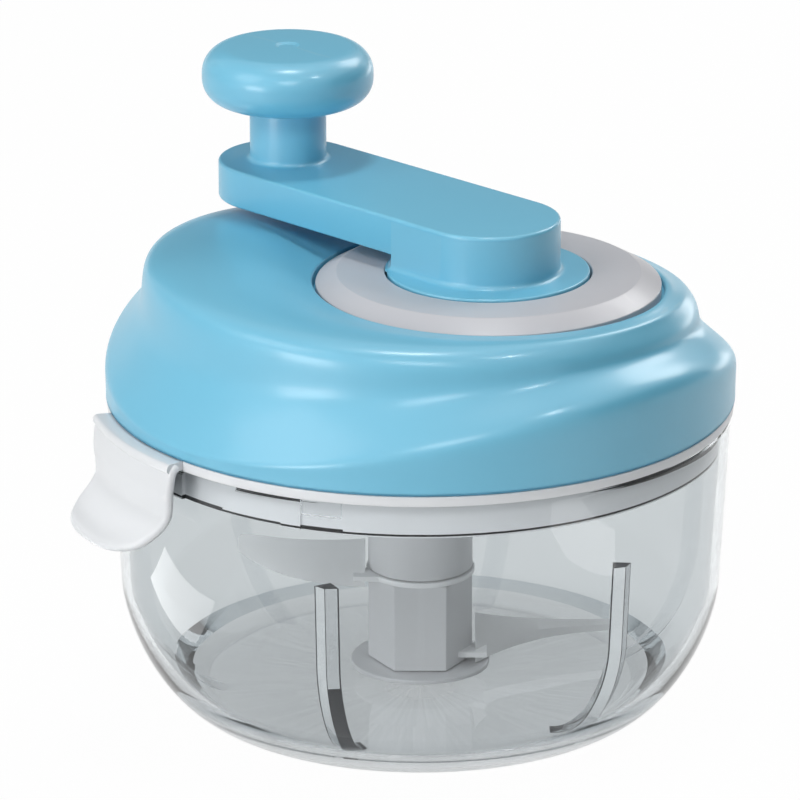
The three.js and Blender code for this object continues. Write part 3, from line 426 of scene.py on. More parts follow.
def bowlWallRadius(z, inset):
    s = bowlSizes
    if z >= s["shoulderHeight"]:
        share = (z - s["shoulderHeight"]) / (s["height"] - s["shoulderHeight"])
        return lerp(s["shoulderRadius"] - inset, s["rimRadius"] - inset, share)
    floor = s["floor"] if inset else 0
    down = min(1, max(0, (s["shoulderHeight"] - z) / (s["shoulderHeight"] - floor)))
    foot = s["footRadius"] - inset
    reach = s["shoulderRadius"] - s["footRadius"]
    return foot + reach * (1 - down ** s["cornerPower"]) ** (1 / s["cornerPower"])


def ribHeights():
    s = bowlSizes
    rise = s["shoulderHeight"] - s["floor"]
    corner = [s["floor"] + rise * (1 - math.cos(i / 26 * math.pi / 2)) for i in range(27)]
    wall = list(np.linspace(s["shoulderHeight"], s["ribTop"] - s["ribEnd"], 7))[1:]
    return corner + wall + [s["ribTop"]]


def bowlProfile(angle, heights):
    s = bowlSizes
    flat = s["footRadius"] * s["flatShare"]
    outer = [(0, 0), (flat, 0)]
    for i in range(25):
        z = s["shoulderHeight"] * (1 - math.cos(i / 24 * math.pi / 2))
        outer.append((bowlWallRadius(z, 0), z))
    top, rim, rnd = s["height"], s["rimRadius"], s["rimRound"]
    outer += [(bowlWallRadius(z, 0), z) for z in (*s["wallRows"], top - 2 * rnd)]
    edge = [(rim, top - rnd), (rim - 0.3 * rnd, top - 0.3 * rnd), (rim - rnd, top)]
    low = rim - s["wall"]
    edge += [(low + rnd, top), (low + 0.3 * rnd, top - 0.3 * rnd), (low, top - rnd)]
    onKey = angleOff(angle, s["keyAngle"]) <= math.radians(s["keyHalf"]) + 1e-7
    keyFoot = top - s["keyHeight"]
    inner = []
    for z in (top - rnd - 0.02, top - rnd - 0.2, keyFoot + 0.2, keyFoot):
        inner.append((low - s["keyDepth"] if onKey else bowlWallRadius(z, s["wall"]), z))
    for z in [keyFoot - 0.02, s["wallRows"][-1]] + heights[::-1]:
        inner.append((bowlWallRadius(z, s["wall"]), z))
    floor, boss, bossTop = s["floor"], s["bossRadius"], s["floor"] + s["bossHeight"]
    inner += [(flat, floor), (boss + 1.2, floor), (boss + 0.4, floor + 0.4), (boss, floor + 1.2)]
    inner += [(boss - 0.4, bossTop - 0.4), (boss - 1.2, bossTop), (0, bossTop)]
    return outer + edge + inner


def makeRib(angle):
    # a wedge with its edge towards the middle and a ridge towards the wall, standing a hair off the wall
    s = bowlSizes
    sections = []
    for z in ribHeights():
        if z <= s["floor"] + 0.02:
            continue
        radius = bowlWallRadius(z, s["wall"]) - s["ribGap"]
        ends = min(1, (s["ribTop"] - z) / s["ribEnd"] + s["ribEndShare"])
        half = s["ribWidth"] / 2 / radius
        lip, tip = half * (1 - s["ribSeam"]), s["ribEdge"]
        side = radius - s["ribRidge"] * ends
        low = radius - s["ribRidge"] * ends * (1 - s["ribSeam"])
        section = [(side, -half), (low, -lip), (radius, -tip), (radius, tip), (low, lip), (side, half)]
        section.append((radius - s["ribDepth"] * ends, 0))
        sections.append([polar(r, angle + turn, z) for r, turn in section])
    return loft("bowlRib", sections, 25)


def paintRibLightAndShade(ribs):
    # painted light on the front ribs: seams, tip and ends are painted dark lines, the left face a painted glint
    # and the right one a greyer painted shade; the first rib's right face is painted dark, as painted shade,
    # where the wall under it turns in
    for name in ("ribPaintedGlint", "ribPaintedShade", "ribPaintedDark"):
        ribs.data.materials.append(paints[name])
    perRib = len(ribs.data.polygons) // 2
    for i, face in enumerate(ribs.data.polygons):
        side = i % perRib % 7
        long = i % perRib < perRib - 2
        if not long or side in (0, 2, 4):
            face.material_index = 3
        elif side == 1:
            face.material_index = 1
        elif side == 3:
            face.material_index = 3 if i < perRib and face.center.z < bowlSizes["ribPaintedDark"] * mm else 2


def makeBowl():
    s = bowlSizes
    heights = ribHeights()
    angles = set(evenAngles(s["sides"]))
    for side in (-1, 1):
        end = math.radians(s["keyAngle"] + side * s["keyHalf"])
        angles |= {end, end + side * 1e-4}
    points, faces = spin(lambda a: bowlProfile(a, heights), sorted(angles))
    bowl = dress(makeMesh("clearBowl", points, faces, 28), "clearWall", "base", ["bowl"])
    bowl.data.materials.append(paints["clearFloor"])
    for face in bowl.data.polygons:
        face.material_index = int(face.center.z < s["thickTo"] * mm)
    ribs = [makeRib(math.radians(s["ribAngle"]) + 2 * math.pi * k / s["ribs"]) for k in range(s["ribs"])]
    paintRibLightAndShade(dress(joinPieces("frontRibs", ribs[:2]), "clearRib", "base"))
    dress(joinPieces("farRibs", ribs[2:]), "clearFarRib", "base")


makeBowl()
print("bowl made")


# What the lid, crank and rotor share: the gap between pieces, the height of the cover's edge and the axes
gap = 0.3
edgeHeight = 77.0


def axisAt(name):
    joint = next(j for j in frame["joints"] if j["name"] == name)
    return (joint["pos_m"][0] / mm, joint["pos_m"][1] / mm)


crankAt = axisAt("crank_turn")
knobAt = axisAt("knob_spin")
crankOffset = math.hypot(*crankAt)
crankDirection = math.atan2(crankAt[1], crankAt[0])


# Cover: tilted shoulder, rising and falling crest, and the recess for the trim ring
coverSizes = {
    "radius": 75.2, "wall": 2.2, "deck": 29.85, "shoulderRadius": 65.4, "shoulder": 27.5, "tilt": 5.4,
    "tiltAngle": 203.0, "twist": 1.35, "twistAngle": -37.0, "roll": 2.6, "crestRadius": 72.9, "crest": 11.2,
    "crestTwist": 6.8, "crestAngle": -48.0, "crestRound": 1.6, "flare": 0.9, "recessRadius": 41.7,
    "recessDepth": 2.85, "holeRadius": 10.8, "sides": 288, "steps": 110, "edgeRound": 0.5,
}


def coverShoulder(angle):
    s = coverSizes
    tilt = s["tilt"] * math.cos(angle - math.radians(s["tiltAngle"]))
    return s["shoulder"] + tilt + s["twist"] * math.cos(2 * (angle - math.radians(s["twistAngle"])))


def coverCrest(angle):
    s = coverSizes
    return s["crest"] + s["crestTwist"] * math.cos(2 * (angle - math.radians(s["crestAngle"])))


def circleReach(angle, radius):
    between = angle - crankDirection
    return crankOffset * math.cos(between) + math.sqrt(radius ** 2 - (crankOffset * math.sin(between)) ** 2)


def coverControls(angle):
    s = coverSizes
    shoulder, crest = coverShoulder(angle), coverCrest(angle)
    reach = circleReach(angle, s["recessRadius"])
    crown, rnd, flare, wide = shoulder + s["roll"], s["crestRound"], s["flare"], s["shoulderRadius"]
    deck = s["deck"]
    return np.array([
        (0, deck), (reach / 2, deck), (reach, deck),
        (lerp(reach, wide, 1 / 3), lerp(deck, crown, 2 / 3)), (lerp(reach, wide, 2 / 3), crown),
        (wide - rnd, shoulder + rnd), (wide + rnd / 2, shoulder - rnd),
        (wide + flare, lerp(crest, shoulder, 3 / 5)), (wide + 3 * flare, lerp(crest, shoulder, 2 / 5)),
        (s["crestRadius"], crest + rnd), (s["radius"] + flare / 3, crest - rnd),
        (s["radius"], crest / 2), (s["radius"], 0),
    ])


def splineAt(controls, shares):
    held = np.vstack([controls[:1], controls[:1], controls, controls[-1:], controls[-1:]])
    spans = len(held) - 3
    place = np.clip(np.asarray(shares) * spans, 0, spans - 1e-9)
    first = place.astype(int)
    t = (place - first)[:, None]
    w = [(1 - t) ** 3, 3 * t ** 3 - 6 * t ** 2 + 4, -3 * t ** 3 + 3 * t ** 2 + 3 * t + 1, t ** 3]
    return sum(w[i] * held[first + i] for i in range(4)) / 6


def coverProfile(angle):
    s = coverSizes
    controls = coverControls(angle)
    reach = circleReach(angle, s["recessRadius"])
    probe = np.linspace(0, 1, 1200)
    path = splineAt(controls, probe)
    start = probe[np.argmax(path[:, 0] >= reach + s["edgeRound"])]
    outer = splineAt(controls, np.linspace(start, 1, s["steps"]))
    lip = outer[0, 1]
    rnd = s["edgeRound"]
    floor = s["deck"] - s["recessDepth"]
    lipRows = [(reach + rnd * (1 - math.cos(b)), lip - rnd * (1 - math.sin(b))) for b in (0.0, 0.4, 0.8, 1.2)]
    hole = (circleReach(angle, s["holeRadius"] + crankOffset), floor)
    top = [hole, (reach, floor)] + lipRows + [tuple(p) for p in outer[:-1]]
    rim = s["radius"]
    edge = [(rim, rnd), (rim - 0.3 * rnd, 0.3 * rnd), (rim - rnd, 0), (rim - s["wall"], 0)]
    inner = splineAt(controls, np.linspace(1, start, 40)) - s["wall"]
    inside = [(r, max(z, 0.4)) for r, z in inner[1:]]
    under = floor - s["wall"]
    inside = [(r, min(z, under)) if r < reach + s["wall"] else (r, z) for r, z in inside]
    return [(r, z + edgeHeight) for r, z in top + edge + inside]


def makeCover():
    points, faces = spin(coverProfile, evenAngles(coverSizes["sides"]))
    dress(makeMesh("swirlCover", points, faces, 40), "bluePlastic", "lid", ["lid_cover"])


makeCover()
print("cover made")


# Lid base: the white band, the plug and the shaft's bearing, with the notch that the tab's root fills
baseSizes = {
    "band": 74.9, "bandHeight": 2.5, "plug": 71.3, "plugWall": 2.2, "plugDepth": 8.7, "floor": 2.2,
    "floorRise": 3.4, "bearing": 9.6, "bearingTop": 84.1, "bore": 6.4, "round": 0.35, "notchRadius": 74.2,
    "sides": 288, "keyAngle": 251.5, "keyHalf": 4.15, "keyDepth": 0.6, "slotFrom": 219.5, "slotTo": 230.3,
    "slantTo": 233.3, "slotDepth": 0.9, "stepTo": 243.3, "stepRise": 1.1, "lineAt": 0.35, "lineRise": 0.5,
    "lineDepth": 1.5,
    "undercut": 1.5, "undercutFrom": 140, "undercutRises": [
        (200, 2.9), (223, 2.5), (250, 2.0), (257, 1.3), (262, 0.4), (296, 0.4), (303, 1.9), (312, 2.6), (327, 3.3),
        (340, 4.3), (349, 4.8), (356, 3.0), (364, 0.4), (500, 0.4),
    ],
}
tabSizes = {
    "angle": 207.7, "halfAngle": 15.5, "rootHalf": 14.9, "shoulder": 78.4, "lip": 88.8, "topDrop": 2.4,
    "waistDrop": 14.4, "drop": 22.7, "thickness": 2.3, "cornerPower": 3.0, "length": 29.0, "middle": 0.4,
    "rings": 26, "around": 240,
}


def undercutRise(turn):
    # height of the undercut under the band at an angle in degrees
    spots = baseSizes["undercutRises"]
    along = turn if turn > baseSizes["undercutFrom"] else turn + 360
    return float(np.interp(along, [a for a, b in spots], [b for a, b in spots]))


def notchHalf():
    return math.radians(tabSizes["rootHalf"]) + gap / baseSizes["band"]


def baseProfile(angle):
    s = baseSizes
    top = edgeHeight - gap
    under = top - s["bandHeight"]
    plugUnder = under - s["plugDepth"]
    floorUnder = plugUnder + s["floorRise"]
    floorTop = floorUnder + s["floor"]
    inner = s["plug"] - s["plugWall"]
    band = s["notchRadius"] if angleOff(angle, tabSizes["angle"]) < notchHalf() else s["band"]
    rnd = s["round"]
    turn = math.degrees(angle) % 360
    face = lowFace = highFace = s["plug"]
    line = s["lineDepth"]
    if abs(turn - s["keyAngle"]) < s["keyHalf"]:
        face = lowFace = highFace = s["plug"] - s["keyDepth"]
    if s["slotFrom"] < turn < s["slotTo"]:
        face = lowFace = highFace = s["plug"] - s["slotDepth"]
        line = 0
    if s["slotTo"] < turn < s["stepTo"]:
        lowFace = s["plug"] - s["slotDepth"]
        line = 0
    rise = undercutRise(turn)
    slant = plugUnder + s["stepRise"] + 0.1
    if s["slotTo"] < turn < s["slantTo"]:
        highFace = s["plug"] - s["slotDepth"]
        slant = lerp(slant, under - rise - 0.1, (turn - s["slotTo"]) / (s["slantTo"] - s["slotTo"]))
    lineLow = plugUnder + s["lineAt"]
    lineHigh = lineLow + s["lineRise"]
    corners = [
        (s["bore"], plugUnder + gap), (s["bearing"], plugUnder + gap, rnd), (s["bearing"], floorUnder, 1.0),
        (inner, floorUnder, rnd), (inner, plugUnder, rnd), (lowFace, plugUnder, 0.15), (lowFace, lineLow),
        (lowFace - line, lineLow + 0.02), (lowFace - line, lineHigh), (lowFace, lineHigh + 0.02),
        (lowFace, plugUnder + s["stepRise"]), (face, plugUnder + s["stepRise"] + 0.02), (face, slant),
        (highFace, slant + 0.02), (highFace, under - rise), (highFace - s["undercut"], under - rise + 0.02),
        (highFace - s["undercut"], under), (band, under, rnd), (band, top, rnd / 2),
        (inner - 1.2, top), (inner - 1.2, floorTop + 4),
        (inner - 2, floorTop), (s["bearing"], floorTop, 1.0), (s["bearing"], s["bearingTop"], rnd),
        (s["bore"], s["bearingTop"]),
    ]
    return roundCorners(corners, 4)


def finishPlug(base):
    # the plug's less glossy white, painted brighter than the band's as painted light, and near-black painted shade in
    # its two narrow grooves
    s = baseSizes
    base.data.materials.append(paints["plugLitWhite"])
    base.data.materials.append(paints["groovePaintedShade"])
    under = edgeHeight - gap - s["bandHeight"]
    line = under - s["plugDepth"] + s["lineAt"] + s["lineRise"] / 2
    for face in base.data.polygons:
        x, y, z = (v / mm for v in face.center)
        radius = math.hypot(x, y)
        if z > under - 0.01 or radius < s["plug"] - 2:
            continue
        rise = undercutRise(math.degrees(math.atan2(y, x)) % 360)
        inGroove = s["plug"] - 1.7 < radius < s["plug"] - 0.2
        face.material_index = 2 if inGroove and (z > under - rise - 0.1 or abs(z - line) < 0.4) else 1


def makeBase():
    s = baseSizes
    turns = [s["keyAngle"] - s["keyHalf"], s["keyAngle"] + s["keyHalf"]]
    turns += [s[key] for key in ("slotFrom", "slotTo", "slantTo", "stepTo")]
    steps = [math.radians(turn) for turn in turns]
    steps += [math.radians(tabSizes["angle"]) + side * notchHalf() for side in (-1, 1)]
    angles = set(evenAngles(s["sides"]))
    for step in steps:
        angles |= {step - 1e-5, step + 1e-5}
    points, faces = spin(baseProfile, sorted(angles), closed=True)
    base = makeMesh("lidBase", points, faces, 32)
    dress(base, "whitePlastic", "lid", ["lid_base"])
    finishPlug(base)


makeBase()


# Lift tab: a scoop whose edge is rounded, made ring by ring from its outline to its middle
def tabCurve():
    s = tabSizes
    start = baseSizes["band"] + gap + s["thickness"] / 2
    return [
        (start, edgeHeight - gap - s["thickness"] / 2),
        (s["shoulder"] - s["thickness"] / 3, edgeHeight - s["topDrop"]),
        (s["shoulder"], edgeHeight - s["waistDrop"] / 2), (s["shoulder"], edgeHeight - s["waistDrop"]),
        (lerp(s["shoulder"], s["lip"], 0.5), edgeHeight - lerp(s["waistDrop"], s["drop"], 2 / 3)),
        (s["lip"], edgeHeight - s["drop"]),
    ]


def tabSection(share):
    # the same centripetal curve as the solid follows
    pts = [np.array(p, float) for p in tabCurve()]
    spans = len(pts) - 1
    place = min(max(share, 0), 0.999999) * spans
    k = int(place)
    t = place - k
    p1, p2 = pts[k], pts[k + 1]
    p0 = pts[k - 1] if k > 0 else 2 * p1 - p2
    p3 = pts[k + 2] if k + 2 <= spans else 2 * p2 - p1
    d0, d1, d2 = (max(np.linalg.norm(b - a) ** 0.5, 1e-4) for a, b in ((p0, p1), (p1, p2), (p2, p3)))
    m1 = ((p1 - p0) / d0 - (p2 - p0) / (d0 + d1) + (p2 - p1) / d1) * d1
    m2 = ((p2 - p1) / d1 - (p3 - p1) / (d1 + d2) + (p3 - p2) / d2) * d1
    h = [2 * t ** 3 - 3 * t ** 2 + 1, t ** 3 - 2 * t ** 2 + t, -2 * t ** 3 + 3 * t ** 2, t ** 3 - t ** 2]
    g = [6 * t ** 2 - 6 * t, 3 * t ** 2 - 4 * t + 1, -6 * t ** 2 + 6 * t, 3 * t ** 2 - 2 * t]
    spot, along = (sum(w * v for w, v in zip(weights, (p1, m1, p2, m2))) for weights in (h, g))
    return spot, along / np.linalg.norm(along)


def tabSpot(across, down, lift):
    s = tabSizes
    spot, along = tabSection(down)
    angle = math.radians(s["angle"] + s["halfAngle"] * across)
    return polar(spot[0] - along[1] * lift, angle, spot[1] + along[0] * lift)


def makeTab():
    s = tabSizes
    width = math.radians(s["halfAngle"]) * s["shoulder"]
    half, middle = s["thickness"] / 2, s["middle"]
    bend = int(s["around"] * 0.75)
    outline = []
    for i in range(bend):
        a = math.pi * i / bend
        across = math.copysign(abs(math.cos(a)) ** (2 / s["cornerPower"]), math.cos(a))
        outline.append((across, abs(math.sin(a)) ** (2 / s["cornerPower"])))
    outline += [(lerp(-1, 1, i / (s["around"] - bend)), 0) for i in range(s["around"] - bend)]
    points, faces = [], []

    def addRing(lift, shrink, last=None):
        # one ring of the outline, set in from the edge as far as its height asks, and joined to the ring before it
        start = len(points)
        inset = half - math.sqrt(max(0, half ** 2 - lift ** 2))
        keepA, keepD = 1 - inset / width, 1 - inset / (s["length"] * middle)
        for across, down in outline:
            points.append(tabSpot(across * keepA * shrink, middle + (down - middle) * keepD * shrink, lift))
        for i in range(s["around"] if last is not None else 0):
            k = (i + 1) % s["around"]
            faces.append([last + i, last + k, start + k, start + i])
        return start

    edge = addRing(0, 1)
    for side in (1, -1):
        last = edge
        for k in range(1, 7):
            last = addRing(side * half * math.sin(k / 6 * math.pi / 2), 1, last)
        for k in range(1, s["rings"]):
            last = addRing(side * half, 1 - k / s["rings"], last)
        points.append(tabSpot(0, middle, side * half))
        for i in range(s["around"]):
            faces.append([last + i, last + (i + 1) % s["around"], len(points) - 1])
    scoop = makeMesh("scoopTab", points, faces, 60)
    tab = joinPieces("scoopTab", [scoop, makeTabRoot()])
    dress(tab, "whitePlastic", "lid", ["lift_tab"])


def makeTabRoot():
    s = tabSizes
    top, under = edgeHeight - gap, edgeHeight - baseSizes["bandHeight"]
    inner, outer = baseSizes["notchRadius"] + gap, baseSizes["band"] + 2 * s["thickness"]
    section = roundCorners([(inner, under, 0.2), (outer, under, 0.8), (outer, top, 1.2), (inner, top, 0.2)], 4)
    sections = []
    for a in np.radians(s["angle"] + np.linspace(-s["rootHalf"], s["rootHalf"], 49)):
        sections.append([polar(r, a, z) for r, z in section])
    return loft("tabRoot", sections, 40)


makeTab()
print("lid base and tab made")


# Trim ring
ringSizes = {"outer": 40.9, "inner": 24.5, "chamfer": 4.9, "rise": 2.7}
deckTop = edgeHeight + coverSizes["deck"]
recessFloor = deckTop - coverSizes["recessDepth"]
trimTop = deckTop + ringSizes["rise"]


def makeTrim():
    s = ringSizes
    low = recessFloor + gap
    corners = [
        (s["inner"], low), (s["outer"], low), (s["outer"], deckTop, 0.35), (s["outer"] - s["chamfer"], trimTop, 1.2),
        (s["inner"], trimTop, 0.4),
    ]
    trim = lathe("trimRing", corners, 192, True, crankAt, 5, 50)
    dress(trim, "trimGrey", "lid", ["trim_ring"])


makeTrim()


# Crank arm: flange, hub and foot, plate and post, each with its rounded edges
armSizes = {
    "length": 68.2, "half": 17.0, "thickness": 9.3, "angle": 135.0, "topRound": 0.8, "underRound": 0.6,
    "flange": 24.0, "flangeRise": 0.45, "hub": 23.0, "hubHeight": 3.55, "hubFoot": 1.4, "post": 9.3,
    "postHeight": 14.0, "postFoot": 1.3, "arc": 40,
}
flangeTop = trimTop + armSizes["flangeRise"]
armUnder = flangeTop + armSizes["hubHeight"]
armTop = armUnder + armSizes["thickness"]
postTop = armTop + armSizes["postHeight"]


def placeOnArm(points):
    a = math.radians(armSizes["angle"])
    c, d = math.cos(a), math.sin(a)
    return [(crankAt[0] + x * c - y * d, crankAt[1] + x * d + y * c, z) for x, y, z in points]


def stadiumEdge():
    # points of the arm's outline with their outward directions
    s = armSizes
    turns = [math.pi * (i / s["arc"] - 0.5) for i in range(s["arc"] + 1)]
    ends = [(s["length"], a) for a in turns] + [(0, a + math.pi) for a in turns]
    return [(x + s["half"] * math.cos(a), s["half"] * math.sin(a), a) for x, a in ends]


def hubEdge():
    # the arm's width where it is inside the hub's circle, cut off by that circle towards the knob
    s = armSizes
    meet = math.asin(s["half"] / s["hub"])
    front = [lerp(-meet, meet, i / 24) for i in range(25)]
    back = [math.pi * (i / s["arc"] + 0.5) for i in range(s["arc"] + 1)]
    x = s["hub"] * math.cos(meet)
    out = [(s["hub"] * math.cos(a), s["hub"] * math.sin(a), a) for a in front]
    out += [(x, s["half"], lerp(meet, math.pi / 2, k / 5)) for k in range(1, 6)]
    out += [(s["half"] * math.cos(a), s["half"] * math.sin(a), a) for a in back]
    return out + [(x, -s["half"], lerp(-math.pi / 2, -meet, k / 6)) for k in range(6)]


def offsetStack(name, outline, levels):
    # rows of an outline pushed out along its directions: levels are (push, z)
    rows = [[(x + push * math.cos(a), y + push * math.sin(a), z) for x, y, a in outline] for push, z in levels]
    return loft(name, [placeOnArm(row) for row in rows], 40)


def quarter(radius, steps):
    # a quarter round, as how far it is drawn in and how far up
    turns = [k / steps * math.pi / 2 for k in range(steps + 1)]
    return [(radius * (1 - math.cos(t)), radius * math.sin(t)) for t in turns]


def fillet(radius):
    # a hollow quarter round at a foot, as how far it stands out and how far up
    turns = np.linspace(0, math.pi / 2, 8)
    return [(radius * (1 - math.sin(t)), radius * (1 - math.cos(t))) for t in turns]


def makeArm():
    s = armSizes
    top, low = s["topRound"], s["underRound"]
    levels = [(-a, armUnder + low - b) for a, b in reversed(quarter(low, 4))]
    levels += [(-a, armTop - top + b) for a, b in quarter(top, 7)]
    plate = offsetStack("armPlate", stadiumEdge(), levels)
    skin = 0.01  # keeps the hub's side just outside the plate's
    levels = [(s["hubFoot"], flangeTop - 0.3)]
    levels += [(skin + out, flangeTop + up) for out, up in fillet(s["hubFoot"])]
    hub = offsetStack("armHub", hubEdge(), levels + [(skin, armTop - top - 0.2)])
    flangeLow = recessFloor + gap
    corners = [(0, flangeLow), (s["flange"], flangeLow, 0.4), (s["flange"], flangeTop, 0.5), (0, flangeTop)]
    flange = lathe("armFlange", corners, 144, False, crankAt)
    r, sunk = s["post"], armTop - 0.6
    corners = [(0, sunk), (r + s["postFoot"], sunk)]
    corners += [(r + out, armTop + up) for out, up in fillet(s["postFoot"])]
    post = lathe("armPost", corners + [(r, postTop, 0.4), (0, postTop)], 96, False, knobAt, 3)
    arm = joinPieces("crankArm", [plate, hub, flange, post])
    dress(arm, "bluePlastic", "crank", ["crank_arm"])


makeArm()


# Knob: a flat mushroom with a small moulding dimple in its top
knobSizes = {
    "radius": 20.8, "height": 14.0, "round": 6.4, "underRound": 6.0, "dimple": 2.6, "dimpleDepth": 0.45,
    "crown": 0.35, "bore": 2.9, "boreCover": 5,
}


def makeKnob():
    s = knobSizes
    low = postTop + gap
    high = low + s["height"]
    dimpleFloor = high - s["dimpleDepth"]
    corners = [
        (s["bore"], low), (s["radius"], low, s["underRound"]), (s["radius"], high - s["crown"], s["round"]),
        (s["dimple"] + 0.5, high, 0.4), (s["dimple"] - 0.4, dimpleFloor, 0.4), (0, dimpleFloor),
        (0, high - s["boreCover"]), (s["bore"], high - s["boreCover"]),
    ]
    knob = lathe("crankKnob", corners, 144, True, knobAt, 14, 60)
    dress(knob, "bluePlastic", "knob", ["crank_knob"])


makeKnob()
print("crank made")


# Rotor: column with six facets under its sleeve, foot flange, and the shaft that drives it from above
columnSizes = {
    "sleeve": 12.6, "sleeveLow": 32.6, "sleeveTop": 52.0, "core": 7.7, "facet": 12.6, "facetLow": 8.9,
    "facetTop": 30.7, "facetRound": 0.5, "socket": 7.506, "socketFoot": 38.6, "bore": 3.4, "boreTop": 34.3,
    "foot": 16.8, "footHeel": 9.6, "footFlare": 14.0, "footFlareShare": 0.4, "footRim": 1.2, "footLow": 5.3,
    "footTop": 8.6, "footBore": 5.8,
}
shaftSizes = {
    "nose": 7.159, "noseLow": 38.9, "collar": 12.6, "collarLow": 52.3, "collarTop": 65.5, "journal": 6.0,
    "journalTop": 85.8, "stub": 4.041, "stubTop": 96.1, "lead": 0.8,
}


def hexReach(angle, corner):
    # distance to the side of a hexagon whose corners point along 0, 60 ... degrees
    within = angle % (math.pi / 3) - math.pi / 6
    return corner * math.cos(math.pi / 6) / math.cos(within)


def softHex(angle, corner, rnd):
    # the same side with its corners rounded by rnd
    within = abs(angle % (math.pi / 3) - math.pi / 6)
    side = corner * math.cos(math.pi / 6)
    middle = corner - rnd / math.cos(math.pi / 6)
    away = math.pi / 6 - within
    onArc = middle * math.cos(away) + math.sqrt(max(0, rnd ** 2 - (middle * math.sin(away)) ** 2))
    reach = side / math.cos(within)
    return min(reach, onArc) if middle * math.sin(away) < rnd * math.sin(math.pi / 6) else reach


def columnProfile(angle):
    s = columnSizes
    facet = softHex(angle, s["facet"], s["facetRound"])
    sleeve = [(s["sleeve"], s["sleeveLow"], 0.3), (s["sleeve"], s["sleeveTop"], 0.6)]
    socket = hexReach(angle, s["socket"])
    corners = [
        (s["bore"], s["facetLow"]), (facet - 0.2, s["facetLow"]), (facet, s["facetLow"] + 0.2),
        (facet, s["facetTop"] - 0.3), (facet - 0.3, s["facetTop"]), (s["core"], s["facetTop"]),
        (s["core"], s["sleeveLow"]),
    ]
    corners += roundCorners([(s["core"], s["sleeveLow"])] + sleeve + [(socket + 0.6, s["sleeveTop"])], 4)[1:]
    corners += [(socket, s["sleeveTop"] - 0.6), (socket, s["socketFoot"]), (s["bore"], s["socketFoot"])]
    bore, top = s["bore"], s["boreTop"]
    return corners + [(bore, top + 0.2), (0, top + 0.2), (0, top), (bore, top)]


def hexAngles(fine):
    angles = set(evenAngles(120))
    for k in range(6):
        middle = k * math.pi / 3
        angles |= {(middle + fine * u) % (2 * math.pi) for u in np.linspace(-1, 1, 9)}
    return sorted(angles)


def makeColumn():
    points, faces = spin(columnProfile, hexAngles(0.03), closed=True)
    column = makeMesh("rotorColumn", points, faces, 25)
    dress(column, "rotorWhite", "rotor", ["blade_column"])


def makeFoot():
    s = columnSizes
    low, top = s["footLow"], s["footTop"]
    corners = [
        (s["footBore"], low), (s["footHeel"], low, 0.6),
        (s["footFlare"], lerp(low, top + gap, s["footFlareShare"]), 4.0),
        (s["foot"], top - s["footRim"], 0.3), (s["foot"], top, 0.4), (s["footBore"], top),
    ]
    foot = lathe("rotorFoot", corners, 144, True)
    dress(foot, "rotorWhite", "rotor", ["column_foot"])


def shaftProfile(angle):
    s = shaftSizes
    nose, stub = softHex(angle, s["nose"], 0.4), softHex(angle, s["stub"], 0.25)
    lead = s["lead"]
    corners = [(nose, s["collarLow"]), (s["collar"], s["collarLow"], 0.5), (s["collar"], s["collarTop"], 0.4)]
    collar = roundCorners(corners + [(s["journal"], s["collarTop"])], 4)[1:-1]
    low = [(0, s["noseLow"]), (nose - lead, s["noseLow"]), (nose, s["noseLow"] + lead), (nose, s["collarLow"])]
    high = [(s["journal"], s["collarTop"]), (s["journal"], s["journalTop"]), (stub, s["journalTop"])]
    return low + collar + high + [(stub, s["stubTop"] - 0.3), (stub - 0.3, s["stubTop"]), (0, s["stubTop"])]


def makeShaft():
    points, faces = spin(shaftProfile, hexAngles(0.03))
    shaft = makeMesh("driveShaft", points, faces, 25)
    dress(shaft, "rotorWhite", "drive", ["drive_shaft"])


# Blades: a tapering wing that curls back and up from its thin front edge, with a ring and a lug at the root
bladeLooks = {
    "upperWing": {
        "side": -1, "front": 8.4, "knee": (35.0, -6.0), "tip": (44.6, 17.0), "rootWidth": 14.0, "taper": 0.5,
        "incline": 32.0, "hubLow": 31.0, "hubOuter": 13.1,
    },
    "lowerWing": {
        "side": 1, "front": 6.0, "knee": (27.0, 14.0), "tip": (47.0, 16.0), "rootWidth": 13.0, "taper": 2.0,
        "incline": 42.0, "hubLow": 10.6, "hubOuter": 9.5,
    },
}
bladeSizes = {
    "hubInner": 8.0, "sheet": 1.3, "edge": 0.25, "bevel": 0.4, "root": 13.3, "tipWidth": 2.5, "drop": 1.4,
    "steps": 56, "lugOut": 16.1, "lugWide": 6.5,
}


def wingSection(look, t):
    s = bladeSizes
    start = np.array([s["root"], -look["front"]])
    knee, tip = np.array(look["knee"]), np.array(look["tip"])
    spot = (1 - t) ** 2 * start + 2 * t * (1 - t) * knee + t ** 2 * tip
    wide = s["tipWidth"] + (look["rootWidth"] - s["tipWidth"]) * (1 - t) ** look["taper"]
    lean = math.radians(look["incline"])
    low = look["hubLow"] - s["drop"]
    out, sheet = [], s["sheet"]
    for across, up in ((0, 0), (wide, 0), (wide, sheet), (s["bevel"] * wide, sheet), (0, s["edge"])):
        back = spot[1] + across * math.cos(lean) - up * math.sin(lean)
        out.append((look["side"] * spot[0], back, low + across * math.sin(lean) + up * math.cos(lean)))
    return out


def makeWing(name, look):
    s = bladeSizes
    wing = loft(name, [wingSection(look, i / s["steps"]) for i in range(s["steps"] + 1)], 25)
    low, high = look["hubLow"], look["hubLow"] + s["sheet"]
    inner, outer = s["hubInner"], look["hubOuter"]
    corners = [(inner, low), (outer, low, 0.2), (outer, high, 0.2), (inner, high)]
    ring = lathe(name + "Hub", corners, 96, True, steps=3)
    x0, x1 = look["side"] * (inner + 0.6), look["side"] * s["lugOut"]
    y0, y1 = -look["front"], s["lugWide"] - look["front"]
    flats = [[(x0, y0, z), (x1, y0, z), (x1, y1, z), (x0, y1, z)] for z in (low + 0.02, high - 0.02)]
    return joinPieces(name, [wing, ring, loft(name + "Lug", flats, 25)])


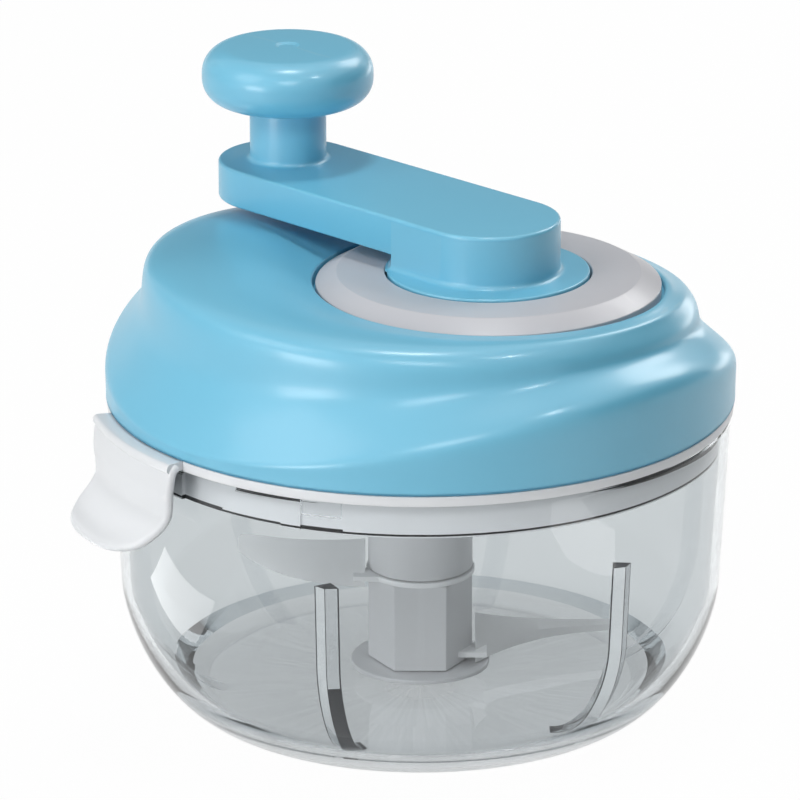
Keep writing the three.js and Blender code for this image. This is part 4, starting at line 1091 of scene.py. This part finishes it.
def makeRotor():
    makeColumn()
    makeFoot()
    makeShaft()
    # the blades take the near-white painted light
    for node, name in (("upper_blade", "upperWing"), ("lower_blade", "lowerWing")):
        dress(makeWing(name, bladeLooks[name]), "bladePaintedLight", "rotor", [node])


makeRotor()
print("rotor made")


# Every CAD node that stays gets its own finish
nodePaints = {
    "steel": ["centre_pin", "shaft_clip", "crank_washer", "crank_screw", "knob_pin", "cover_screw_1", "cover_screw_2",
              "cover_screw_3", "cover_screw_4"],
    "acetal": ["drive_pinion", "crank_bush", "ring_gear"],
    "silicone": ["lid_seal"],
}
for paint, nodes in nodePaints.items():
    for node in nodes:
        solid = frame["nodes"][node]
        solid.data.materials.clear()
        solid.data.materials.append(paints[paint])


print("solids painted")


# Studio: pale floor with a painted shadow in its glow near the bowl's foot, white surroundings for the camera and for
# what reflects or passes light, soft lamps
studio = {
    "ambient": 0.04, "floorSize": 6.0, "floorColour": (0.86, 0.865, 0.87), "floorRough": 0.9, "floorLift": 0.98,
    # painted shadow: for reflections and clear plastic the floor's glow falls to floorUnder near the bowl's foot, over
    # the next two distances
    "floorMirrored": 0.9, "floorUnder": 0.62, "paintedShadowFrom": 0.050, "paintedShadowTo": 0.082, "insideFill": 0.3,
    "lampAim": (0, 0, 0.08),
    "lamps": [
        {"name": "keyLamp", "at": (-1.05, -1.05, 0.24), "size": (0.6, 0.4), "power": 6.6},
        {"name": "highLamp", "at": (-0.95, -0.45, 0.95), "size": (0.7, 0.7), "power": 4.2},
        {"name": "frontLamp", "at": (0, -1.30, 1.10), "size": (0.6, 0.4), "power": 5.6},
        {"name": "topLamp", "at": (0, 0, 1.70), "size": (0.3, 0.3), "power": 7.2},
        {"name": "backLamp", "at": (0.80, 0.90, 1.00), "size": (0.6, 0.6), "power": 7.0},
    ],
    "flags": [
        {"name": "rightFlag", "at": (2.0, 0.4, 0.75), "turn": 90, "size": (3.2, 1.3), "glow": 0.02},
        {"name": "leftFlag", "at": (-2.0, 0.9, 0.75), "turn": 90, "size": (2.4, 1.3), "glow": 0.6},
        {"name": "backFlag", "at": (0, 2.6, 1.25), "turn": 0, "size": (3.6, 2.0), "glow": 0.2},
    ],
    "panes": [
        {"name": "leftPane", "corners": [(-138, -62, 1), (-112, -40, 1), (-140, 22, 1), (-168, 6, 1)], "glow": 4.5},
        {"name": "rightPane", "corners": [(128, -150, 1), (150, -160, 1), (172, -84, 1), (150, -76, 1)], "glow": 3.2},
        {"name": "spotPane", "corners": [(470, -400, 960), (540, -360, 940), (540, -330, 990), (470, -370, 1010)],
         "glow": 110.0},
        {"name": "rearPane", "corners": [(420, 980, 0), (760, 760, 0), (760, 760, 150), (420, 980, 150)], "glow": 4.0},
    ],
}
pureWhite = (1.0, 1.0, 1.0)


def makeLamp(lamp):
    data = bpy.data.lights.new(lamp["name"], "AREA")
    data.shape = "RECTANGLE"
    data.size, data.size_y = lamp["size"]
    data.energy = lamp["power"]
    made = addObject(lamp["name"], data)
    made.location = lamp["at"]
    made.rotation_euler = (Vector(studio["lampAim"]) - Vector(lamp["at"])).to_track_quat("-Z", "Y").to_euler()
    made.visible_transmission = False


def makeCard(name, corners, paint):
    mesh = bpy.data.meshes.new(name)
    mesh.from_pydata(corners, [], [(0, 1, 2, 3)])
    mesh.materials.append(paint)
    return addObject(name, mesh)


def glowPaint(name, colour, strength):
    g = paintGraph(name)
    return g.finish(g.node("Emission", {}, {"Color": colour, "Strength": strength}))


def seenShare(g, mirrored):
    # 1 for rays that meet the background directly, in a mirror or through clear plastic, and less for those that
    # light what stands inside the bowl
    seen = g.ray("Is Camera Ray") + g.ray("Is Glossy Ray") * mirrored + g.ray("Is Transmission Ray")
    bounced = g.band(g.ray("Diffuse Depth"), 0.0, 1.0)
    return g.band(seen, 0.0, 1.0) * (1.0 - bounced * (1.0 - studio["insideFill"]))


def makeFloor():
    g = paintGraph("floorPaint")
    names = {"Base Color": studio["floorColour"], "Roughness": studio["floorRough"]}
    matt = g.node("BsdfPrincipled", {}, names)
    glow = g.node("Emission", {}, {"Color": pureWhite, "Strength": 1.0})
    # painted shadow: the floor's glow, as reflections and clear plastic see it, is dimmed near the bowl's foot; the
    # camera sees it unchanged
    away = g.node("VectorMath", {"operation": "LENGTH"}, {0: g.place()}, 1)
    under = g.band(away, studio["paintedShadowFrom"], studio["paintedShadowTo"], studio["floorUnder"], 1.0)
    share = seenShare(g, studio["floorMirrored"]) * studio["floorLift"]
    share = share * g.band(g.ray("Is Camera Ray") + under, 0.0, 1.0)
    paint = g.finish(g.node("MixShader", {}, {0: share, 1: matt, 2: glow}))
    size = studio["floorSize"]
    floor = makeCard("studioFloor", [(-size, -size, 0), (size, -size, 0), (size, size, 0), (-size, size, 0)], paint)


def makeFlags():
    # cards beside and behind the object, out of the camera's sight, which its reflections and clear plastic show
    for flag in studio["flags"]:
        w, h = flag["size"][0] / 2, flag["size"][1] / 2
        paint = glowPaint(flag["name"] + "Paint", (0.97, 0.99, 1.0), flag["glow"])
        card = makeCard(flag["name"], [(-w, 0, -h), (w, 0, -h), (w, 0, h), (-w, 0, h)], paint)
        card.location = flag["at"]
        card.rotation_euler = (0, 0, math.radians(flag["turn"]))
        card.visible_camera = False


def makePanes():
    # small bright windows that show only as highlights on what is glossy
    for pane in studio["panes"]:
        paint = glowPaint(pane["name"] + "Paint", pureWhite, pane["glow"])
        card = makeCard(pane["name"], [(x * mm, y * mm, z * mm) for x, y, z in pane["corners"]], paint)
        card.visible_camera = card.visible_diffuse = card.visible_transmission = card.visible_shadow = False


def makeWorld():
    world = bpy.data.worlds.new("studioWorld")
    bpy.context.scene.world = world
    g = Graph(world)
    plain = g.node("Background", {}, {"Color": pureWhite, "Strength": studio["ambient"]})
    white = g.node("Background", {}, {"Color": pureWhite, "Strength": 1.0})
    g.finish(g.node("MixShader", {}, {0: seenShare(g, 1.0), 1: plain, 2: white}))


for lamp in studio["lamps"]:
    makeLamp(lamp)


makeFloor()
makeFlags()
makePanes()
makeWorld()
bpy.context.scene.view_settings.view_transform = "Standard"
print("studio made")
